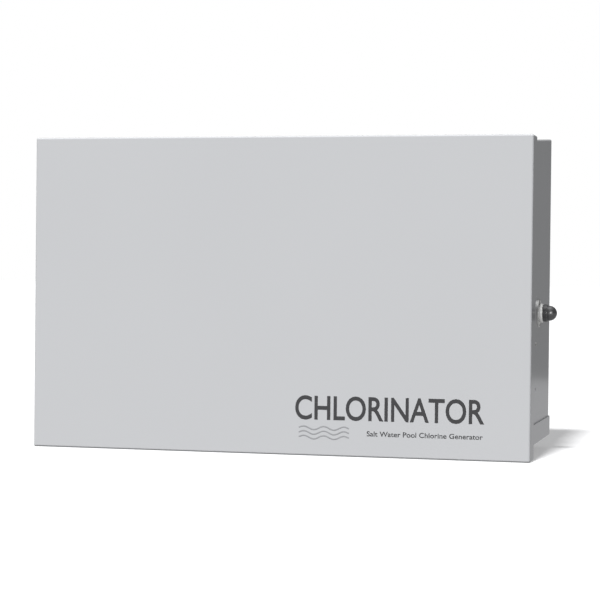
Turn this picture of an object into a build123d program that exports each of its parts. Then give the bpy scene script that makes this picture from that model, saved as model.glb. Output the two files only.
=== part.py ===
"""Salt chlorine generator: the wall-hung power box of a swimming pool's chlorinator.

A folded steel case hangs on a wall bracket and is closed by a full-size door.  The door turns on two
butt hinges at the left and is held by a quarter-turn hook latch in the right side.  Inside are a
control panel with a display and four keys, the transformer and the power board behind it, and a
wiring bay below.

Millimetres.  The origin is the centre of the four wall fixings, on the wall.  +X is to the right of
someone who faces the door, +Y runs into the wall, +Z is up.  The door's front is at -DEPTH.
"""
import math
import os

from build123d import *

# ---------------------------------------------------------------- overall sizes
DOOR_W = 400.0            # door, over its side flanges
DOOR_H = 248.2            # door, over its top and bottom flanges
DEPTH = 151.0             # wall to the door's front
WALL_GAP = 8.0            # wall to the back of the case
SHEET = 1.5               # case and door sheet
DOOR_FLANGE = 21.5        # depth of the door's turned edges
FOLD_R = 1.5              # outer radius of a fold
FOLD_INNER_R = 0.4        # inner radius of a fold
CORNER_R = 1.3            # corner radius of the door's outline

# ---------------------------------------------------------------- how the door covers the case
SIDE_LAP = 2.7            # door edge past the case, each side
BOTTOM_LAP = 10.0         # door edge below the tray
TOP_LAP = 3.8             # door edge above the front of the case's top
TOP_FALL = 10.0           # fall of the case's top from back to front
RIM_SET = 7.5             # case rim behind the door's front
LIP_W = 12.0              # turned-in lip round the case's mouth
LIP_GAP = 0.3             # gasket to lip, door shut

# ---------------------------------------------------------------- bottom tray
TRAY_SHEET = 1.2
TRAY_H = 16.0
TRAY_SET = 24.5           # tray's front end behind the door's front
BAY_HOLE_MARGIN = 46.0    # case floor left at each side of its opening
BAY_HOLE_FRONT = 44.0     # opening's front edge behind the door's front
BAY_HOLE_BACK = 22.0      # opening's back edge before the case's back
MAINS_IN = 24.0           # mains entry from the opening's left end
CONTROL_IN = 64.0         # control entry from the opening's left end
KNOCKOUT_IN = 112.0       # knock-out from the opening's left end
GROMMET_IN = 72.0         # grommet from the opening's right end
SOCKET_IN = 30.0          # cell socket from the opening's right end
TRAY_SCREW_SIDE = 14.0    # tray screw to the case's side
TRAY_SCREW_FRONT = 9.0    # tray screw to the tray's front end
TRAY_SCREW_BACK = 10.0    # tray screw to the case's back
CONDUIT_R = 11.1          # half-inch trade size entry
KNOCKOUT_R = 14.2
KNOCKOUT_SLOT = 0.8
KNOCKOUT_TIE = 3.0        # width of the two ties that hold the knock-out
GROMMET_HOLE_R = 7.0
GROMMET_WALL = 3.0
GROMMET_LIP = 2.2
GROMMET_FIT = 0.05
SOCKET_R = 15.0
SOCKET_FLANGE_R = 20.0
SOCKET_FLANGE_T = 2.5
SOCKET_WALL = 2.5
SOCKET_COLLAR = 8.0       # collar below the tray
SOCKET_BODY = 16.0        # body above the case's floor
SOCKET_CUP = 3.0          # cup's floor above the tray's bottom
SOCKET_PIN_R = 1.5
SOCKET_PIN_RING = 6.5
SOCKET_PIN_SET = 5.0      # pin tips below the tray
KEYWAY_W = 3.0
SOCKET_NUT_T = 6.0
SOCKET_NUT_GRIPS = 12
SOCKET_NUT_GRIP_R = 2.4
LUG_SIDE = 30.0           # bonding lug to the case's side
LUG_SET = 60.0            # bonding lug behind the door's front
LUG_W = 12.0
LUG_L = 18.0
LUG_H = 9.0
LUG_BORE_R = 3.0
LUG_BORE_DOWN = 4.0       # bonding wire's hole below the tray
LUG_BORE_BACK = 3.0       # bonding wire's hole behind the lug's middle

# ---------------------------------------------------------------- wall bracket
FIX_X = 254.0             # wall fixings, across
FIX_Z = 127.0             # wall fixings, up
FIX_SLOT_L = 14.0
FIX_SLOT_R = 3.25
BRACKET_W = 290.0
BRACKET_H = 156.0
BRACKET_T = 2.0
BRACKET_WINDOW_W = 200.0
BRACKET_WINDOW_H = 92.0
CLEAT_H = 17.0            # tongue that the case hangs on
HOOK_H = 14.0             # lip of the case's rail behind the tongue
TONGUE_GAP = 0.6          # tongue to case
WINDOW_CORNER_R = 8.0
LOCK_TAB_W = 60.0
RAIL_SHORT = 5.0          # rail's end to the bracket's end
RAIL_WELD_H = 16.0        # rail's flange on the case's back
LOCK_R = 2.5              # lock screw, M5
LOCK_HEAD = 1.9           # lock screw's head over its thread
LOCK_END = 2.5            # lock screw's tip past the bracket's tab

# ---------------------------------------------------------------- hinges
HINGE_SET = 25.0          # hinge axis behind the door's front
HINGE_LEN = 50.0
HINGE_INSET = 30.0        # hinge end to the door's end, clear of the tray
KNUCKLE_R = 2.7
PIN_R = 1.5
PIN_GAP = 0.05            # running fit of the pin
KNUCKLES = 5
KNUCKLE_GAP = 0.3
LEAF_T = 1.2
DOOR_LEAF = 15.0
CASE_LEAF = 19.0
RIVET_R = 1.6
RIVET_HEAD_R = 3.0
RIVET_HEAD_T = 0.9
RIVET_FIT = 0.05
LEAF_RIVETS = (0.22, 0.78)  # rivets along a leaf, as shares of its length
LEAF_RIVET_OUT = 0.62     # rivets across a leaf, as a share of its width
PIN_END = 1.5             # pin's end below the knuckles
PIN_HEAD_T = 1.2
PIN_HEAD_GAP = 0.2        # pin's head above the knuckles

# ---------------------------------------------------------------- case sides
SHELF_SCREW_SET = 50.0    # shelf's screw behind the door's front
SHELF_SCREW_R = 1.1
SHELF_SCREW_HEAD_R = 1.5
SHELF_SCREW_HEAD_T = 0.6
SHELF_SCREW_BITE = 4.0
VENT_R = 1.2              # weep hole in each side
VENT_SET = 53.0           # weep hole behind the door's front
VENT_UP = 52.8            # weep hole above the door's bottom edge

# ---------------------------------------------------------------- latch
LATCH_SET = 62.4          # latch axis behind the door's front
LATCH_UP = 112.2          # latch axis above the door's bottom edge
ROSETTE_R = 11.2
ROSETTE_RIM = 1.8         # width of the rosette's raised rim
ROSETTE_T = 1.6           # height of its rim
ROSETTE_DISH_T = 0.6      # thickness inside the rim
ROSETTE_ROUND = 0.75
BUSH_NECK_R = 5.0
BUSH_SHOULDER_R = 6.0
BUSH_SHOULDER_T = 1.15    # rosette's dish to the flange
BUSH_FLANGE_R = 7.55
BUSH_FLANGE_T = 2.25
BUSH_FLANGE_ROUND = 0.5
BUSH_LEN = 13.0           # neck inside the rosette
NUT_AF = 15.0
NUT_T = 4.5
SHAFT_R = 2.5
SHAFT_GAP = 0.05          # running fit of the shaft
SHAFT_SQUARE = 3.4
COLLAR_R = 6.85
COLLAR_T = 3.25
COLLAR_ROUND = 0.4
KNOB_FIT = 0.02           # knob on the shaft
DOME_R = 5.9
DOME_STRAIGHT = 1.45
KNOB_GAP = 0.3
PAWL_X_IN = 16.9          # pawl's outer face inside the case's side
PAWL_T = 2.5
PAWL_W = 14.0
PAWL_ROUND = 5.0
PAWL_FIT = 0.05           # square hole round the shaft's square
PAWL_SCREW_R = 1.25
PAWL_SCREW_HEAD_R = 4.0
PAWL_SCREW_HEAD_T = 2.0
PAWL_SCREW_BITE = 5.5
PAWL_TAP_R = 1.3
PAWL_TAP_DEPTH = 6.0
STRIKE_R = 40.0           # latch axis to the striker's pin
STRIKE_PIN_R = 2.5
STRIKE_GAP = 0.6
PAWL_END = 5.0            # hook's steel beyond the pin
STRIKER_T = 1.8
STRIKER_FOOT = 22.0
STRIKER_H = 28.0
STRIKER_ARM_H = 18.0
STRIKER_SIDE_GAP = 5.5    # striker's arm to pawl
STRIKER_FOOT_ROUND = 4.0
STRIKER_ARM_ROUND = 6.0
STRIKER_RIVET_OUT = 0.3   # rivets from the foot's middle, as a share of its height
STRIKE_PIN_END = 2.0      # pin's end past the pawl

# ---------------------------------------------------------------- on the door's inner face
GASKET_EDGE = 4.0         # gasket inside the case's outline
GASKET_W = 6.5
GASKET_OUTER_R = 6.0
GASKET_INNER_R = 3.0
LABEL_W = 150.0
LABEL_H = 108.0
LABEL_T = 0.3
LABEL_LEFT = 40.0         # label's middle to the left of the door's middle
LABEL_R = 4.0

# ---------------------------------------------------------------- inside
SHELF_UP = 70.0           # divider shelf above the tray's bottom
SHELF_TURN = 16.0         # shelf's turned-up ends
SHELF_CORNER = 1.5        # clears the folds of the case's back
SHELF_TAB_SET = 42.0      # turned-up ends behind the door's front
SHELF_TAB_BACK = 12.0     # turned-up ends before the case's back
LEAD_NOTCH_X = 58.0       # notch in the shelf's back edge, for leads between the bays
LEAD_NOTCH_W = 36.0
LEAD_NOTCH_D = 26.0
PANEL_SET = 34.0          # control panel behind the door's front
PANEL_SHEET = 1.5
PANEL_GAP = 1.9           # panel inside the case's mouth
PANEL_DROP = 8.0          # panel below the shelf's top
PANEL_R = 4.0
PANEL_TURN = 14.0         # depth of the panel's turned sides
PANEL_TURN_SHORT = 4.0    # turned edge to the panel's or cover's end
LATCH_BAY = 27.0          # clear strip for the latch at the right
COVER_GAP = 2.0           # panel to wiring cover
COVER_BARRIER = 60.0
POST_AF = 8.0
POST_INSET = 10.0         # post to the panel's edge
POST_TAP_SPARE = 2.0      # tapped depth past the screw's tip
SCREW_R = 2.0
SCREW_HEAD_R = 3.8
SCREW_HEAD_T = 2.2
SCREW_FIT = 0.1
SCREW_BITE = 8.0

# ---------------------------------------------------------------- display and keys
WINDOW_W = 72.0
WINDOW_H = 28.0
WINDOW_IN = 96.0          # window centre from the panel's left edge
WINDOW_DOWN = 44.0        # window centre below the panel's top edge
BEZEL_EDGE = 6.0
BEZEL_T = 1.6
BEZEL_SLOPE = 0.7         # bevel round its front
LENS_EDGE = 4.0
LENS_T = 1.5
LCD_GAP = 0.4
BOARD_SET = 9.0           # display board behind the panel's front
BOARD_T = 1.6
SPACER_R = 2.75
SPACER_LEN = BOARD_SET - PANEL_SHEET
SPACER_BORE_R = 1.3
BOARD_HOLE_R = 1.6
BOARD_LEFT = 14.0         # display board past the window
BOARD_RIGHT = 10.0        # display board past the lights
BOARD_LOW = 16.0          # display board below the keys
BOARD_HIGH = 12.0         # display board above the window
KEY_NAMES = ("left", "right", "menu", "enter")
KEY_R = 5.6
KEY_PITCH = 24.0
KEY_DOWN = 38.0           # keys below the window's centre
KEY_PROUD = 3.0
KEY_GAP = 0.3
KEY_FLANGE_R = 7.2
KEY_FLANGE_T = 1.0
KEY_ROUND = 0.9
KEY_STEM_R = 1.8
KEY_TRAVEL = 1.0
SWITCH_W = 6.0
SWITCH_T = 2.0
SWITCH_EDGE = 0.4
LENS_R = 2.5
LENS_COUNT = 5
LENS_PITCH = 13.0
LENS_RIGHT = 34.0         # lights' column from the window's edge
LENS_PROUD = 0.6          # straight part before the dome
LENS_DOME = 1.8
LENS_RIM = 1.0

# ---------------------------------------------------------------- transformer and power board
CORE_W = 84.0
CORE_H = 70.0
CORE_T = 34.0
CORE_IN = 68.0            # transformer centre from the case's left wall
CORE_OFF = 14.0           # core to the case's back
COIL_W = 54.0
COIL_H = 44.0
COIL_PROUD = 12.0
COIL_GAP = 0.4            # bobbin to core
COIL_R = 7.0
CORE_HOLE_R = 2.1
CORE_HOLE_IN = 5.0
BRACKET_FOOT = 16.0
BRACKET_SHEET = 2.0
BRACKET_HALF_H = 22.0
BRACKET_HOLE_IN = 10.0    # foot's holes from the core's side
BRACKET_HOLE_Z = 14.0     # foot's holes above and below the middle
POWER_BOARD_IN = 132.0    # power board's left edge from the case's left wall
STANDOFF_INSET = 5.0
BOARD_TOP_GAP = 4.0
BOARD_BOTTOM_GAP = 6.0
SINK_IN = 10.0            # heat sink from the board's right and top edges
SINK_W = 62.0
SINK_H = 70.0
SINK_D = 34.0
SINK_BASE = 5.0
FINS = 9
FIN_T = 1.8
DEVICES = 3
DEVICE_W = 10.0
DEVICE_H = 15.0
DEVICE_T = 4.6
DEVICE_PITCH = 20.0
DEVICE_IN = 6.0           # first device from the sink's left edge
DEVICE_DOWN = 3.0         # devices below the sink
CAP_R = 12.5
CAP_LEN = 38.0
CAP_IN = 22.0             # first can from the board's left edge
CAP_DOWN = 26.0           # cans below the board's top edge
CAP_GAP = 4.0
CAP_ROUND = 1.5
RELAY_W = 19.0
RELAY_H = 28.0
RELAY_D = 16.0
RELAY_GAP = 6.0
PARTS_IN = 12.0           # relays and fuse holder from the board's left edge
RELAY_UP = 14.0           # relays above the board's lower edge
FUSE_UP = 4.0             # fuse holder above the board's lower edge
FUSE_L = 30.0
FUSE_H = 7.0
FUSE_D = 8.0
FUSE_ROUND = 2.5

# ---------------------------------------------------------------- wiring bay
BLOCK_W = 84.0
BLOCK_H = 22.0
BLOCK_D = 14.0
BLOCK_POLES = 6
BLOCK_IN = 44.0           # block from the case's inner side
BLOCK_WALL = 1.2
BLOCK_CUT = 6.0           # depth of each pole
BLOCK_SCREW_Z = 5.5       # clamp screws above and below the middle
BAR_W = 66.0
BAR_H = 9.0
BAR_D = 8.0
BAR_OFF = 6.0
BAR_UP = 8.0              # bar above the bay's middle
BAR_X0 = 14.0             # bar's left end
BAR_FOOT = 6.0
BAR_FOOT_IN = 3.0
BAR_SCREWS = 5
BAR_SCREW_IN = 16.0
BAR_SCREW_PITCH = 9.0
CLAMP_HEAD_R = 2.9
CLAMP_HEAD_T = 1.8
CLAMP_SLOT_L = 4.4
CLAMP_SLOT_W = 0.8
LOW_POLES = 8
LOW_PITCH = 7.6
LOW_H = 15.0
LOW_D = 18.0
LOW_IN = 44.0             # connectors from the case's inner side
LOW_UP = 4.0              # connectors above the bay's middle
LOW_ENTRY_R = 2.2
LOW_ENTRY_DOWN = 4.5      # screw entries below the connectors' top
LOW_ENTRY_DEPTH = 2.0
LOW_WALL = 1.6
LOW_WIRE_H = 4.8
LOW_WIRE_DEPTH = 5.0
LEAD_R = 1.4
LEADS = 3
LEAD_BEND_R = 7.0
LEAD_OUT = 16.0           # lead's straight run out of its connector
LEAD_PITCH = 6.0          # leads at the socket
LEAD_UP = 2.0             # lowest lead's run above the connectors' bottom

# ---------------------------------------------------------------- worked out from the above
CASE_X = DOOR_W / 2 - SIDE_LAP
INNER_X = CASE_X - SHEET
CASE_H = DOOR_H - BOTTOM_LAP - TOP_LAP + TOP_FALL
FRONT_Y = -DEPTH
RIM_Y = FRONT_Y + RIM_SET
BACK_Y = -WALL_GAP
BACK_IN = BACK_Y - SHEET
TRAY_Z = -CASE_H / 2
FLOOR_Z = TRAY_Z + TRAY_SHEET
FLOOR_IN = FLOOR_Z + SHEET
DOOR_Z0 = TRAY_Z - BOTTOM_LAP
DOOR_Z1 = DOOR_Z0 + DOOR_H
TOP_FRONT_Z = DOOR_Z1 - TOP_LAP
TOP_BACK_Z = CASE_H / 2
TOP_SLOPE = TOP_FALL / (BACK_Y - RIM_Y)
MOUTH_X = CASE_X - LIP_W
MOUTH_Z0 = FLOOR_Z + LIP_W
MOUTH_Z1 = TOP_FRONT_Z - LIP_W
SHELF_Z = TRAY_Z + SHELF_UP
PANEL_Y = FRONT_Y + PANEL_SET
PANEL_BACK = PANEL_Y + PANEL_SHEET
PANEL_X0 = -MOUTH_X + PANEL_GAP
PANEL_X1 = INNER_X - LATCH_BAY
PANEL_Z0 = SHELF_Z - PANEL_DROP
PANEL_Z1 = MOUTH_Z1 - PANEL_GAP
COVER_X1 = -6.0
COVER_Z0 = MOUTH_Z0 + PANEL_GAP
COVER_Z1 = PANEL_Z0 - COVER_GAP
HINGE_X = -DOOR_W / 2
HINGE_Y = FRONT_Y + HINGE_SET
LATCH_Y = FRONT_Y + LATCH_SET
LATCH_Z = DOOR_Z0 + LATCH_UP
PAWL_X1 = CASE_X - PAWL_X_IN
PAWL_X0 = PAWL_X1 - PAWL_T
STRIKER_X = PAWL_X0 - STRIKER_SIDE_GAP
WINDOW_X = PANEL_X0 + WINDOW_IN
WINDOW_Z = PANEL_Z1 - WINDOW_DOWN
KEY_Z = WINDOW_Z - KEY_DOWN
BOARD_Y = PANEL_Y + BOARD_SET
CORE_X = -INNER_X + CORE_IN
CORE_Z = (SHELF_Z + PANEL_Z1) / 2
POWER_X0 = -INNER_X + POWER_BOARD_IN
POWER_X1 = PANEL_X1 - 2 * POST_INSET
POWER_Z0 = SHELF_Z + SHEET + BOARD_BOTTOM_GAP
POWER_Z1 = PANEL_Z1 - BOARD_TOP_GAP
POWER_Y = BACK_IN - SPACER_LEN
POWER_FACE = POWER_Y - BOARD_T
BAY_Z = (FLOOR_IN + SHELF_Z) / 2


# ================================================================ small helpers
def block(x0, x1, y0, y1, z0, z1):
    """A block between two corners."""
    return Pos((x0 + x1) / 2, (y0 + y1) / 2, (z0 + z1) / 2) * Box(x1 - x0, y1 - y0, z1 - z0)


def rod(radius, start, end):
    """A round bar between two points."""
    run = Vector(*end) - Vector(*start)
    plane = Plane(origin=start, z_dir=run.normalized())
    return Solid.make_cylinder(radius, run.length, plane)


def hexagon_bar(across, start, end):
    """A hexagonal bar between two points."""
    run = Vector(*end) - Vector(*start)
    plane = Plane(origin=start, z_dir=run.normalized())
    return extrude(plane * RegularPolygon(across / 2, 6, major_radius=False), run.length)


def pan_screw(tip, head_base, radius=SCREW_R, head_r=SCREW_HEAD_R, head_t=SCREW_HEAD_T):
    """A pan-head screw with a cross recess; its head stands on head_base, away from the tip."""
    out = (Vector(*head_base) - Vector(*tip)).normalized()
    top = Vector(*head_base) + out * head_t
    head = fillet(rod(head_r, head_base, top).edges().sort_by(lambda e: (e.center() - top).length)[0],
                  head_t * 0.45)
    side = Vector(0, 0, 1) if abs(out.Z) < 0.5 else Vector(1, 0, 0)
    plane = Plane(origin=top - out * head_t * 0.5, z_dir=out, x_dir=side)
    cross = extrude(plane * (Rectangle(head_r * 1.1, head_r * 0.24)
                             + Rectangle(head_r * 0.24, head_r * 1.1)), head_t)
    return head + rod(radius, tip, head_base) - cross


def rivet(inner, outer):
    """A rivet that clamps what lies between two points, with a low head at each end."""
    run = (Vector(*outer) - Vector(*inner)).normalized()
    body = rod(RIVET_R, Vector(*inner) - run * RIVET_HEAD_T, Vector(*outer) + run * RIVET_HEAD_T)
    for face, way in ((Vector(*outer), run), (Vector(*inner), -run)):
        top = face + way * RIVET_HEAD_T
        head = rod(RIVET_HEAD_R, face, top)
        rim = head.edges().sort_by(lambda e: (e.center() - top).length)[0]
        body += fillet(rim, RIVET_HEAD_T * 0.7)
    return body


def group(solids):
    """Identical loose pieces kept as one node of separate solids."""
    return Compound(children=[s if isinstance(s, Solid) else s.solid() for s in solids])


# ================================================================ case
def case_outline(inset):
    """Side view of the case, its top falling to the front, drawn inset from the outer faces."""
    top_front = TOP_FRONT_Z - inset * math.hypot(1, TOP_SLOPE)
    top_back = TOP_BACK_Z - inset * math.hypot(1, TOP_SLOPE) - inset * TOP_SLOPE
    front_z = top_front + inset * TOP_SLOPE
    points = [(RIM_Y + inset, FLOOR_Z + inset), (BACK_Y - inset, FLOOR_Z + inset),
              (BACK_Y - inset, top_back), (RIM_Y + inset, front_z)]
    return make_face(Plane.YZ * Polyline(points, close=True))


def case_body(inset, radius):
    """The case's closed volume, inset from its outer faces, with its folds rounded."""
    half = CASE_X - inset
    solid = extrude(Pos(-half, 0, 0) * case_outline(inset), 2 * half, dir=(1, 0, 0))
    back = solid.faces().sort_by(Axis.Y)[-1]
    top = solid.faces().sort_by(Axis.Z)[-1]
    sides = [e for e in top.edges() if abs(e.center().X) > half - 0.1]
    return fillet(back.edges() + sides, radius)


def hinge_rivet_points(body):
    """Rivet places on one body's hinge leaves: x of the leaf's outer face, y, z."""
    places = []
    for z0 in hinge_starts():
        for z in [z0 + HINGE_LEN * share for share in LEAF_RIVETS]:
            if body == "case":
                places.append((-CASE_X - LEAF_T, HINGE_Y + CASE_LEAF * LEAF_RIVET_OUT, z))
            else:
                places.append((HINGE_X - LEAF_T, HINGE_Y - DOOR_LEAF * LEAF_RIVET_OUT, z))
    return places


def hinge_starts():
    """Lower end of the lower and of the upper hinge."""
    return (DOOR_Z0 + HINGE_INSET, DOOR_Z1 - HINGE_INSET - HINGE_LEN)


def side_screw_points():
    """Screws through the case's sides into the shelf's turned-up ends."""
    return [(side, FRONT_Y + SHELF_SCREW_SET, SHELF_Z + SHELF_TURN / 2) for side in (-1, 1)]


def tray_screw_points():
    """Screws up through the tray into the case's floor."""
    near, far = FRONT_Y + TRAY_SET + TRAY_SCREW_FRONT, BACK_Y - TRAY_SCREW_BACK
    across = CASE_X - TRAY_SCREW_SIDE
    return [(x, y) for x in (-across, across) for y in (near, far)]


def post_points():
    """Hexagonal posts on the case's back that carry the panel and the wiring cover."""
    left, right = PANEL_X0 + POST_INSET, PANEL_X1 - POST_INSET
    low, high = SHELF_Z + SHEET + POST_INSET, PANEL_Z1 - POST_INSET
    middle = (COVER_Z0 + COVER_Z1) / 2
    panel = [(x, z) for x in (left, right) for z in (low, high)]
    return panel + [(left, middle), (COVER_X1 - POST_INSET - PANEL_SHEET, middle)]


def make_case_shell():
    shell = case_body(0, FOLD_R) - case_body(SHEET, FOLD_INNER_R)
    shell -= block(-MOUTH_X, MOUTH_X, RIM_Y - 1, RIM_Y + SHEET + 1, MOUTH_Z0, MOUTH_Z1)
    shell -= block(-CASE_X + BAY_HOLE_MARGIN, CASE_X - BAY_HOLE_MARGIN, FRONT_Y + BAY_HOLE_FRONT,
                   BACK_Y - BAY_HOLE_BACK, FLOOR_Z - 1, FLOOR_IN + 1)
    shell -= rod(BUSH_NECK_R + SCREW_FIT, (INNER_X - 1, LATCH_Y, LATCH_Z), (CASE_X + 1, LATCH_Y, LATCH_Z))
    for x, y, z in hinge_rivet_points("case"):
        shell -= rod(RIVET_R + RIVET_FIT, (-CASE_X - 1, y, z), (-INNER_X + 1, y, z))
    for side, y, z in side_screw_points():
        shell -= rod(SHELF_SCREW_R + SCREW_FIT, (side * (INNER_X - 1), y, z), (side * (CASE_X + 1), y, z))
    vent_y, vent_z = FRONT_Y + VENT_SET, DOOR_Z0 + VENT_UP
    for side in (-1, 1):
        shell -= rod(VENT_R, (side * (INNER_X - 1), vent_y, vent_z), (side * (CASE_X + 1), vent_y, vent_z))
    for x, y in tray_screw_points():
        shell -= rod(SCREW_R + SCREW_FIT, (x, y, FLOOR_Z - 1), (x, y, FLOOR_IN + 1))
    lock_z = -BRACKET_H / 2 + CLEAT_H / 2
    shell -= rod(LOCK_R + SCREW_FIT, (0, BACK_IN - 1, lock_z), (0, BACK_Y + 1, lock_z))
    return shell


def tray_hole_points():
    """Entries in the tray's floor: place, radius, kind."""
    middle = (FRONT_Y + BAY_HOLE_FRONT + BACK_Y - BAY_HOLE_BACK) / 2
    left = -CASE_X + BAY_HOLE_MARGIN
    right = -left
    return {
        "mains": (left + MAINS_IN, middle, CONDUIT_R),
        "control": (left + CONTROL_IN, middle, CONDUIT_R),
        "knockout": (left + KNOCKOUT_IN, middle, KNOCKOUT_R),
        "grommet": (right - GROMMET_IN, middle, GROMMET_HOLE_R),
        "cell": (right - SOCKET_IN, middle, SOCKET_R + SCREW_FIT),
    }


def make_bottom_tray():
    outer_x = CASE_X + TRAY_SHEET
    back = BACK_Y + TRAY_SHEET
    front = FRONT_Y + TRAY_SET
    tray = block(-outer_x, outer_x, front, back, TRAY_Z, TRAY_Z + TRAY_H)
    upright = tray.edges().filter_by(Axis.Z).group_by(Axis.Y)[-1]
    tray = fillet(upright, FOLD_R + TRAY_SHEET)
    tray = fillet(tray.faces().sort_by(Axis.Z)[0].edges().filter_by(Axis.Y), FOLD_R)
    inside = block(-CASE_X, CASE_X, front - 1, BACK_Y, FLOOR_Z, TRAY_Z + TRAY_H + 1)
    inside = fillet(inside.edges().filter_by(Axis.Z).group_by(Axis.Y)[-1], FOLD_R)
    tray -= inside
    holes = tray_hole_points()
    for name in ("mains", "control", "grommet", "cell"):
        x, y, r = holes[name]
        tray -= rod(r, (x, y, TRAY_Z - 1), (x, y, FLOOR_Z + 1))
    x, y, r = holes["knockout"]
    ring = rod(r, (x, y, TRAY_Z - 1), (x, y, FLOOR_Z + 1))
    ring -= rod(r - KNOCKOUT_SLOT, (x, y, TRAY_Z - 1), (x, y, FLOOR_Z + 1))
    ties = block(x - r, x + r, y - KNOCKOUT_TIE / 2, y + KNOCKOUT_TIE / 2, TRAY_Z - 1, FLOOR_Z + 1)
    tray -= ring - ties
    for px, py in tray_screw_points():
        tray -= rod(SCREW_R + SCREW_FIT, (px, py, TRAY_Z - 1), (px, py, FLOOR_Z + 1))
    return tray


def make_tray_screws():
    return group([pan_screw((x, y, TRAY_Z + SCREW_BITE), (x, y, TRAY_Z)) for x, y in tray_screw_points()])


def make_side_screws():
    screws = []
    for side, y, z in side_screw_points():
        screws.append(pan_screw((side * (CASE_X - SHELF_SCREW_BITE), y, z), (side * CASE_X, y, z),
                                SHELF_SCREW_R, SHELF_SCREW_HEAD_R, SHELF_SCREW_HEAD_T))
    return group(screws)


# ================================================================ wall bracket
RAIL_Z = BRACKET_H / 2 + CLEAT_H
TONGUE_Y0 = BACK_Y + TONGUE_GAP
TONGUE_Y1 = TONGUE_Y0 + BRACKET_T


def make_wall_bracket():
    half_w, half_h = BRACKET_W / 2, BRACKET_H / 2
    plate = block(-half_w, half_w, -BRACKET_T, 0, -half_h, half_h)
    window = block(-BRACKET_WINDOW_W / 2, BRACKET_WINDOW_W / 2, -BRACKET_T - 1, 1,
                   -BRACKET_WINDOW_H / 2, BRACKET_WINDOW_H / 2)
    plate -= fillet(window.edges().filter_by(Axis.Y), WINDOW_CORNER_R)
    plate += block(-half_w, half_w, TONGUE_Y0, 0, half_h - BRACKET_T, half_h)
    plate += block(-half_w, half_w, TONGUE_Y0, TONGUE_Y1, half_h, RAIL_Z)
    tab = LOCK_TAB_W / 2
    plate += block(-tab, tab, BACK_Y, 0, -half_h, -half_h + BRACKET_T)
    plate += block(-tab, tab, BACK_Y, BACK_Y + BRACKET_T, -half_h, -half_h + CLEAT_H)
    for x in (-FIX_X / 2, FIX_X / 2):
        for z in (-FIX_Z / 2, FIX_Z / 2):
            slot = Pos(x, 0, z) * Plane.XZ.location * SlotOverall(FIX_SLOT_L, 2 * FIX_SLOT_R)
            plate -= extrude(slot, 3 * BRACKET_T, both=True)
    plate -= rod(LOCK_R + SCREW_FIT, (0, BACK_Y - 1, -half_h + CLEAT_H / 2),
                 (0, BACK_Y + BRACKET_T + 1, -half_h + CLEAT_H / 2))
    return plate


def make_hanger_rail():
    """A Z-shaped rail, spot-welded to the case's back, whose lip hangs behind the bracket's tongue."""
    half = BRACKET_W / 2 - RAIL_SHORT
    lip_y0 = TONGUE_Y1 + TONGUE_GAP
    rail = block(-half, half, BACK_Y, BACK_Y + SHEET, RAIL_Z, RAIL_Z + RAIL_WELD_H)
    rail += block(-half, half, BACK_Y, lip_y0 + SHEET, RAIL_Z, RAIL_Z + SHEET)
    rail += block(-half, half, lip_y0, lip_y0 + SHEET, RAIL_Z - HOOK_H, RAIL_Z + SHEET)
    return rail


def make_bracket_lock_screw():
    z = -BRACKET_H / 2 + CLEAT_H / 2
    return pan_screw((0, BACK_Y + BRACKET_T + LOCK_END, z), (0, BACK_IN, z), LOCK_R, LOCK_R * LOCK_HEAD, LOCK_R)


# ================================================================ hinges
def knuckle_bands(z0, owner):
    """Height bands of one leaf's knuckles: the case owns the odd ones, the door the even ones."""
    step = HINGE_LEN / KNUCKLES
    bands = []
    for i in range(KNUCKLES):
        if (i % 2 == 0) == (owner == "case"):
            bands.append((z0 + i * step + KNUCKLE_GAP / 2, z0 + (i + 1) * step - KNUCKLE_GAP / 2))
    return bands


def make_hinge_leaf(z0, owner):
    """One leaf with its knuckles.  The case's leaf lies on the case's side, the door's on its flange."""
    other = "door" if owner == "case" else "case"
    if owner == "case":
        leaf = block(-CASE_X - LEAF_T, -CASE_X, HINGE_Y, HINGE_Y + CASE_LEAF, z0, z0 + HINGE_LEN)
    else:
        leaf = block(HINGE_X - LEAF_T, HINGE_X, HINGE_Y - DOOR_LEAF, HINGE_Y, z0, z0 + HINGE_LEN)
    for low, high in knuckle_bands(z0, other):
        leaf -= rod(KNUCKLE_R + KNUCKLE_GAP, (HINGE_X, HINGE_Y, low - KNUCKLE_GAP),
                    (HINGE_X, HINGE_Y, high + KNUCKLE_GAP))
    for low, high in knuckle_bands(z0, owner):
        leaf += rod(KNUCKLE_R, (HINGE_X, HINGE_Y, low), (HINGE_X, HINGE_Y, high))
    leaf -= rod(PIN_R + PIN_GAP, (HINGE_X, HINGE_Y, z0 - 1), (HINGE_X, HINGE_Y, z0 + HINGE_LEN + 1))
    for x, y, z in hinge_rivet_points(owner):
        if z0 < z < z0 + HINGE_LEN:
            leaf -= rod(RIVET_R + RIVET_FIT, (x - 1, y, z), (x + LEAF_T + 1, y, z))
    return leaf


def make_hinge_pin(z0):
    head = z0 + HINGE_LEN + PIN_HEAD_GAP
    pin = rod(PIN_R, (HINGE_X, HINGE_Y, z0 - PIN_END), (HINGE_X, HINGE_Y, head))
    return pin + rod(KNUCKLE_R, (HINGE_X, HINGE_Y, head), (HINGE_X, HINGE_Y, head + PIN_HEAD_T))


def make_case_hinge_rivets():
    return group([rivet((-INNER_X, y, z), (x, y, z)) for x, y, z in hinge_rivet_points("case")])


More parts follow.
